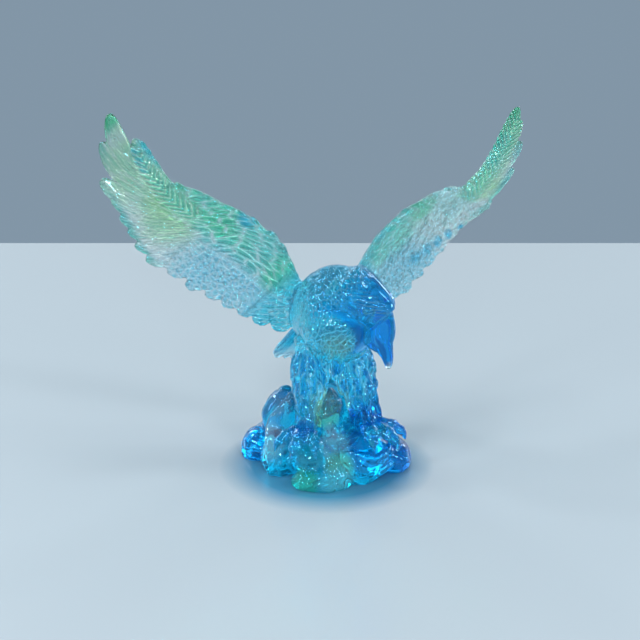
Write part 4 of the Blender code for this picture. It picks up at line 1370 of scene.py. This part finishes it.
def build_stage():
    """A pale glossy table with a straight far edge, and a painted blue shadow on it around the rock."""
    bm = bmesh.new()
    bmesh.ops.create_grid(bm, x_segments=1, y_segments=1, size=1.0)
    bmesh.ops.scale(bm, vec=(TABLE_HALF_WIDTH, TABLE_DEPTH / 2, 1.0), verts=bm.verts)
    bmesh.ops.translate(bm, vec=(0.0, TABLE_EDGE - TABLE_DEPTH / 2, -TABLE_DROP), verts=bm.verts)
    table = new_object("table", mesh_of(bm, "table"))
    material = new_material("pale_table", {"Roughness": TABLE_ROUGHNESS})
    tree = material.node_tree
    place = tree.nodes.new("ShaderNodeTexCoord").outputs["Object"]
    around = node(tree, "ShaderNodeMapping", Vector=place, Scale=(1 / ROCK_WIDTH, 1 / ROCK_DEPTH, 1.0),
                  Location=(0.0, PAINTED_SHADOW_FORWARD, 0.0))
    away = node(tree, "ShaderNodeVectorMath", Vector=around.outputs["Vector"])
    away.operation = "LENGTH"
    # A painted blue shadow, darker than the table, around and in front of the rock
    painted_shadow = ramp(tree, away.outputs["Value"], *PAINTED_SHADOW_REACH, 1.0, 0.0)
    colour = colour_mix(tree, fixed_colour(tree, TABLE_COLOUR), PAINTED_SHADOW_COLOUR, painted_shadow)
    fill(tree, tree.nodes["Principled BSDF"], {"Base Color": colour})
    table.data.materials.append(material)


def build_room():
    """A light tent above and at the sides, dimmer behind the camera, a bright window low ahead, and a
    grey-blue wall behind the table."""
    world = bpy.data.worlds.new("room")
    bpy.context.scene.world = world
    world.use_nodes = True
    tree = world.node_tree
    place = tree.nodes.new("ShaderNodeTexCoord").outputs["Generated"]
    split = node(tree, "ShaderNodeSeparateXYZ", Vector=place)
    aside, onward, upward = (split.outputs[axis] for axis in "XYZ")
    above = ramp(tree, upward, *TENT_ABOVE, 0.0, 1.0)
    beside = ramp(tree, math_of(tree, "ABSOLUTE", aside), *TENT_BESIDE, 0.0, 1.0)
    behind = ramp(tree, onward, *TENT_BEHIND, TENT_BEHIND_CAMERA, 1.0)
    tent = math_of(tree, "MULTIPLY", math_of(tree, "MAXIMUM", above, beside), behind)
    bottom = ramp(tree, upward, *WINDOW_ABOVE[:2], 0.0, 1.0)
    top = ramp(tree, upward, *WINDOW_ABOVE[2:], 1.0, 0.0)
    ahead = ramp(tree, onward, *WINDOW_AHEAD, 0.0, 1.0)
    window = math_of(tree, "MULTIPLY", math_of(tree, "MULTIPLY", bottom, top), ahead)
    colour = colour_mix(tree, fixed_colour(tree, ROOM_COLOUR), TENT_COLOUR, tent)
    colour = colour_mix(tree, colour, WINDOW_COLOUR, window)
    fill(tree, tree.nodes["Background"], {"Color": colour, "Strength": 1.0})


def softbox(name, place, size, power):
    lamp = bpy.data.lights.new(name, "AREA")
    lamp.shape = "RECTANGLE"
    lamp.size, lamp.size_y = size
    lamp.energy = power
    obj = new_object(name, lamp)
    obj.location = place
    obj.rotation_euler = (Vector(LAMP_AIM) - Vector(place)).to_track_quat("-Z", "Y").to_euler()


def build_camera():
    camera = bpy.data.cameras.new("camera")
    camera.lens = CAMERA_LENS
    camera.sensor_width = SENSOR_WIDTH
    obj = new_object("camera", camera)
    pitch = math.radians(CAMERA_PITCH)
    aim = row(*CAMERA_AIM)
    obj.location = aim + CAMERA_DISTANCE * row(0.0, -math.cos(pitch), math.sin(pitch))
    obj.rotation_euler = (math.radians(90) - pitch, 0.0, 0.0)
    bpy.context.scene.camera = obj


build_bubbles(build_eagle())
build_stage()
build_room()
for name, place, size, power in SOFTBOXES:
    softbox(name, place, size, power)
build_camera()
bpy.context.scene.view_settings.view_transform = "Standard"
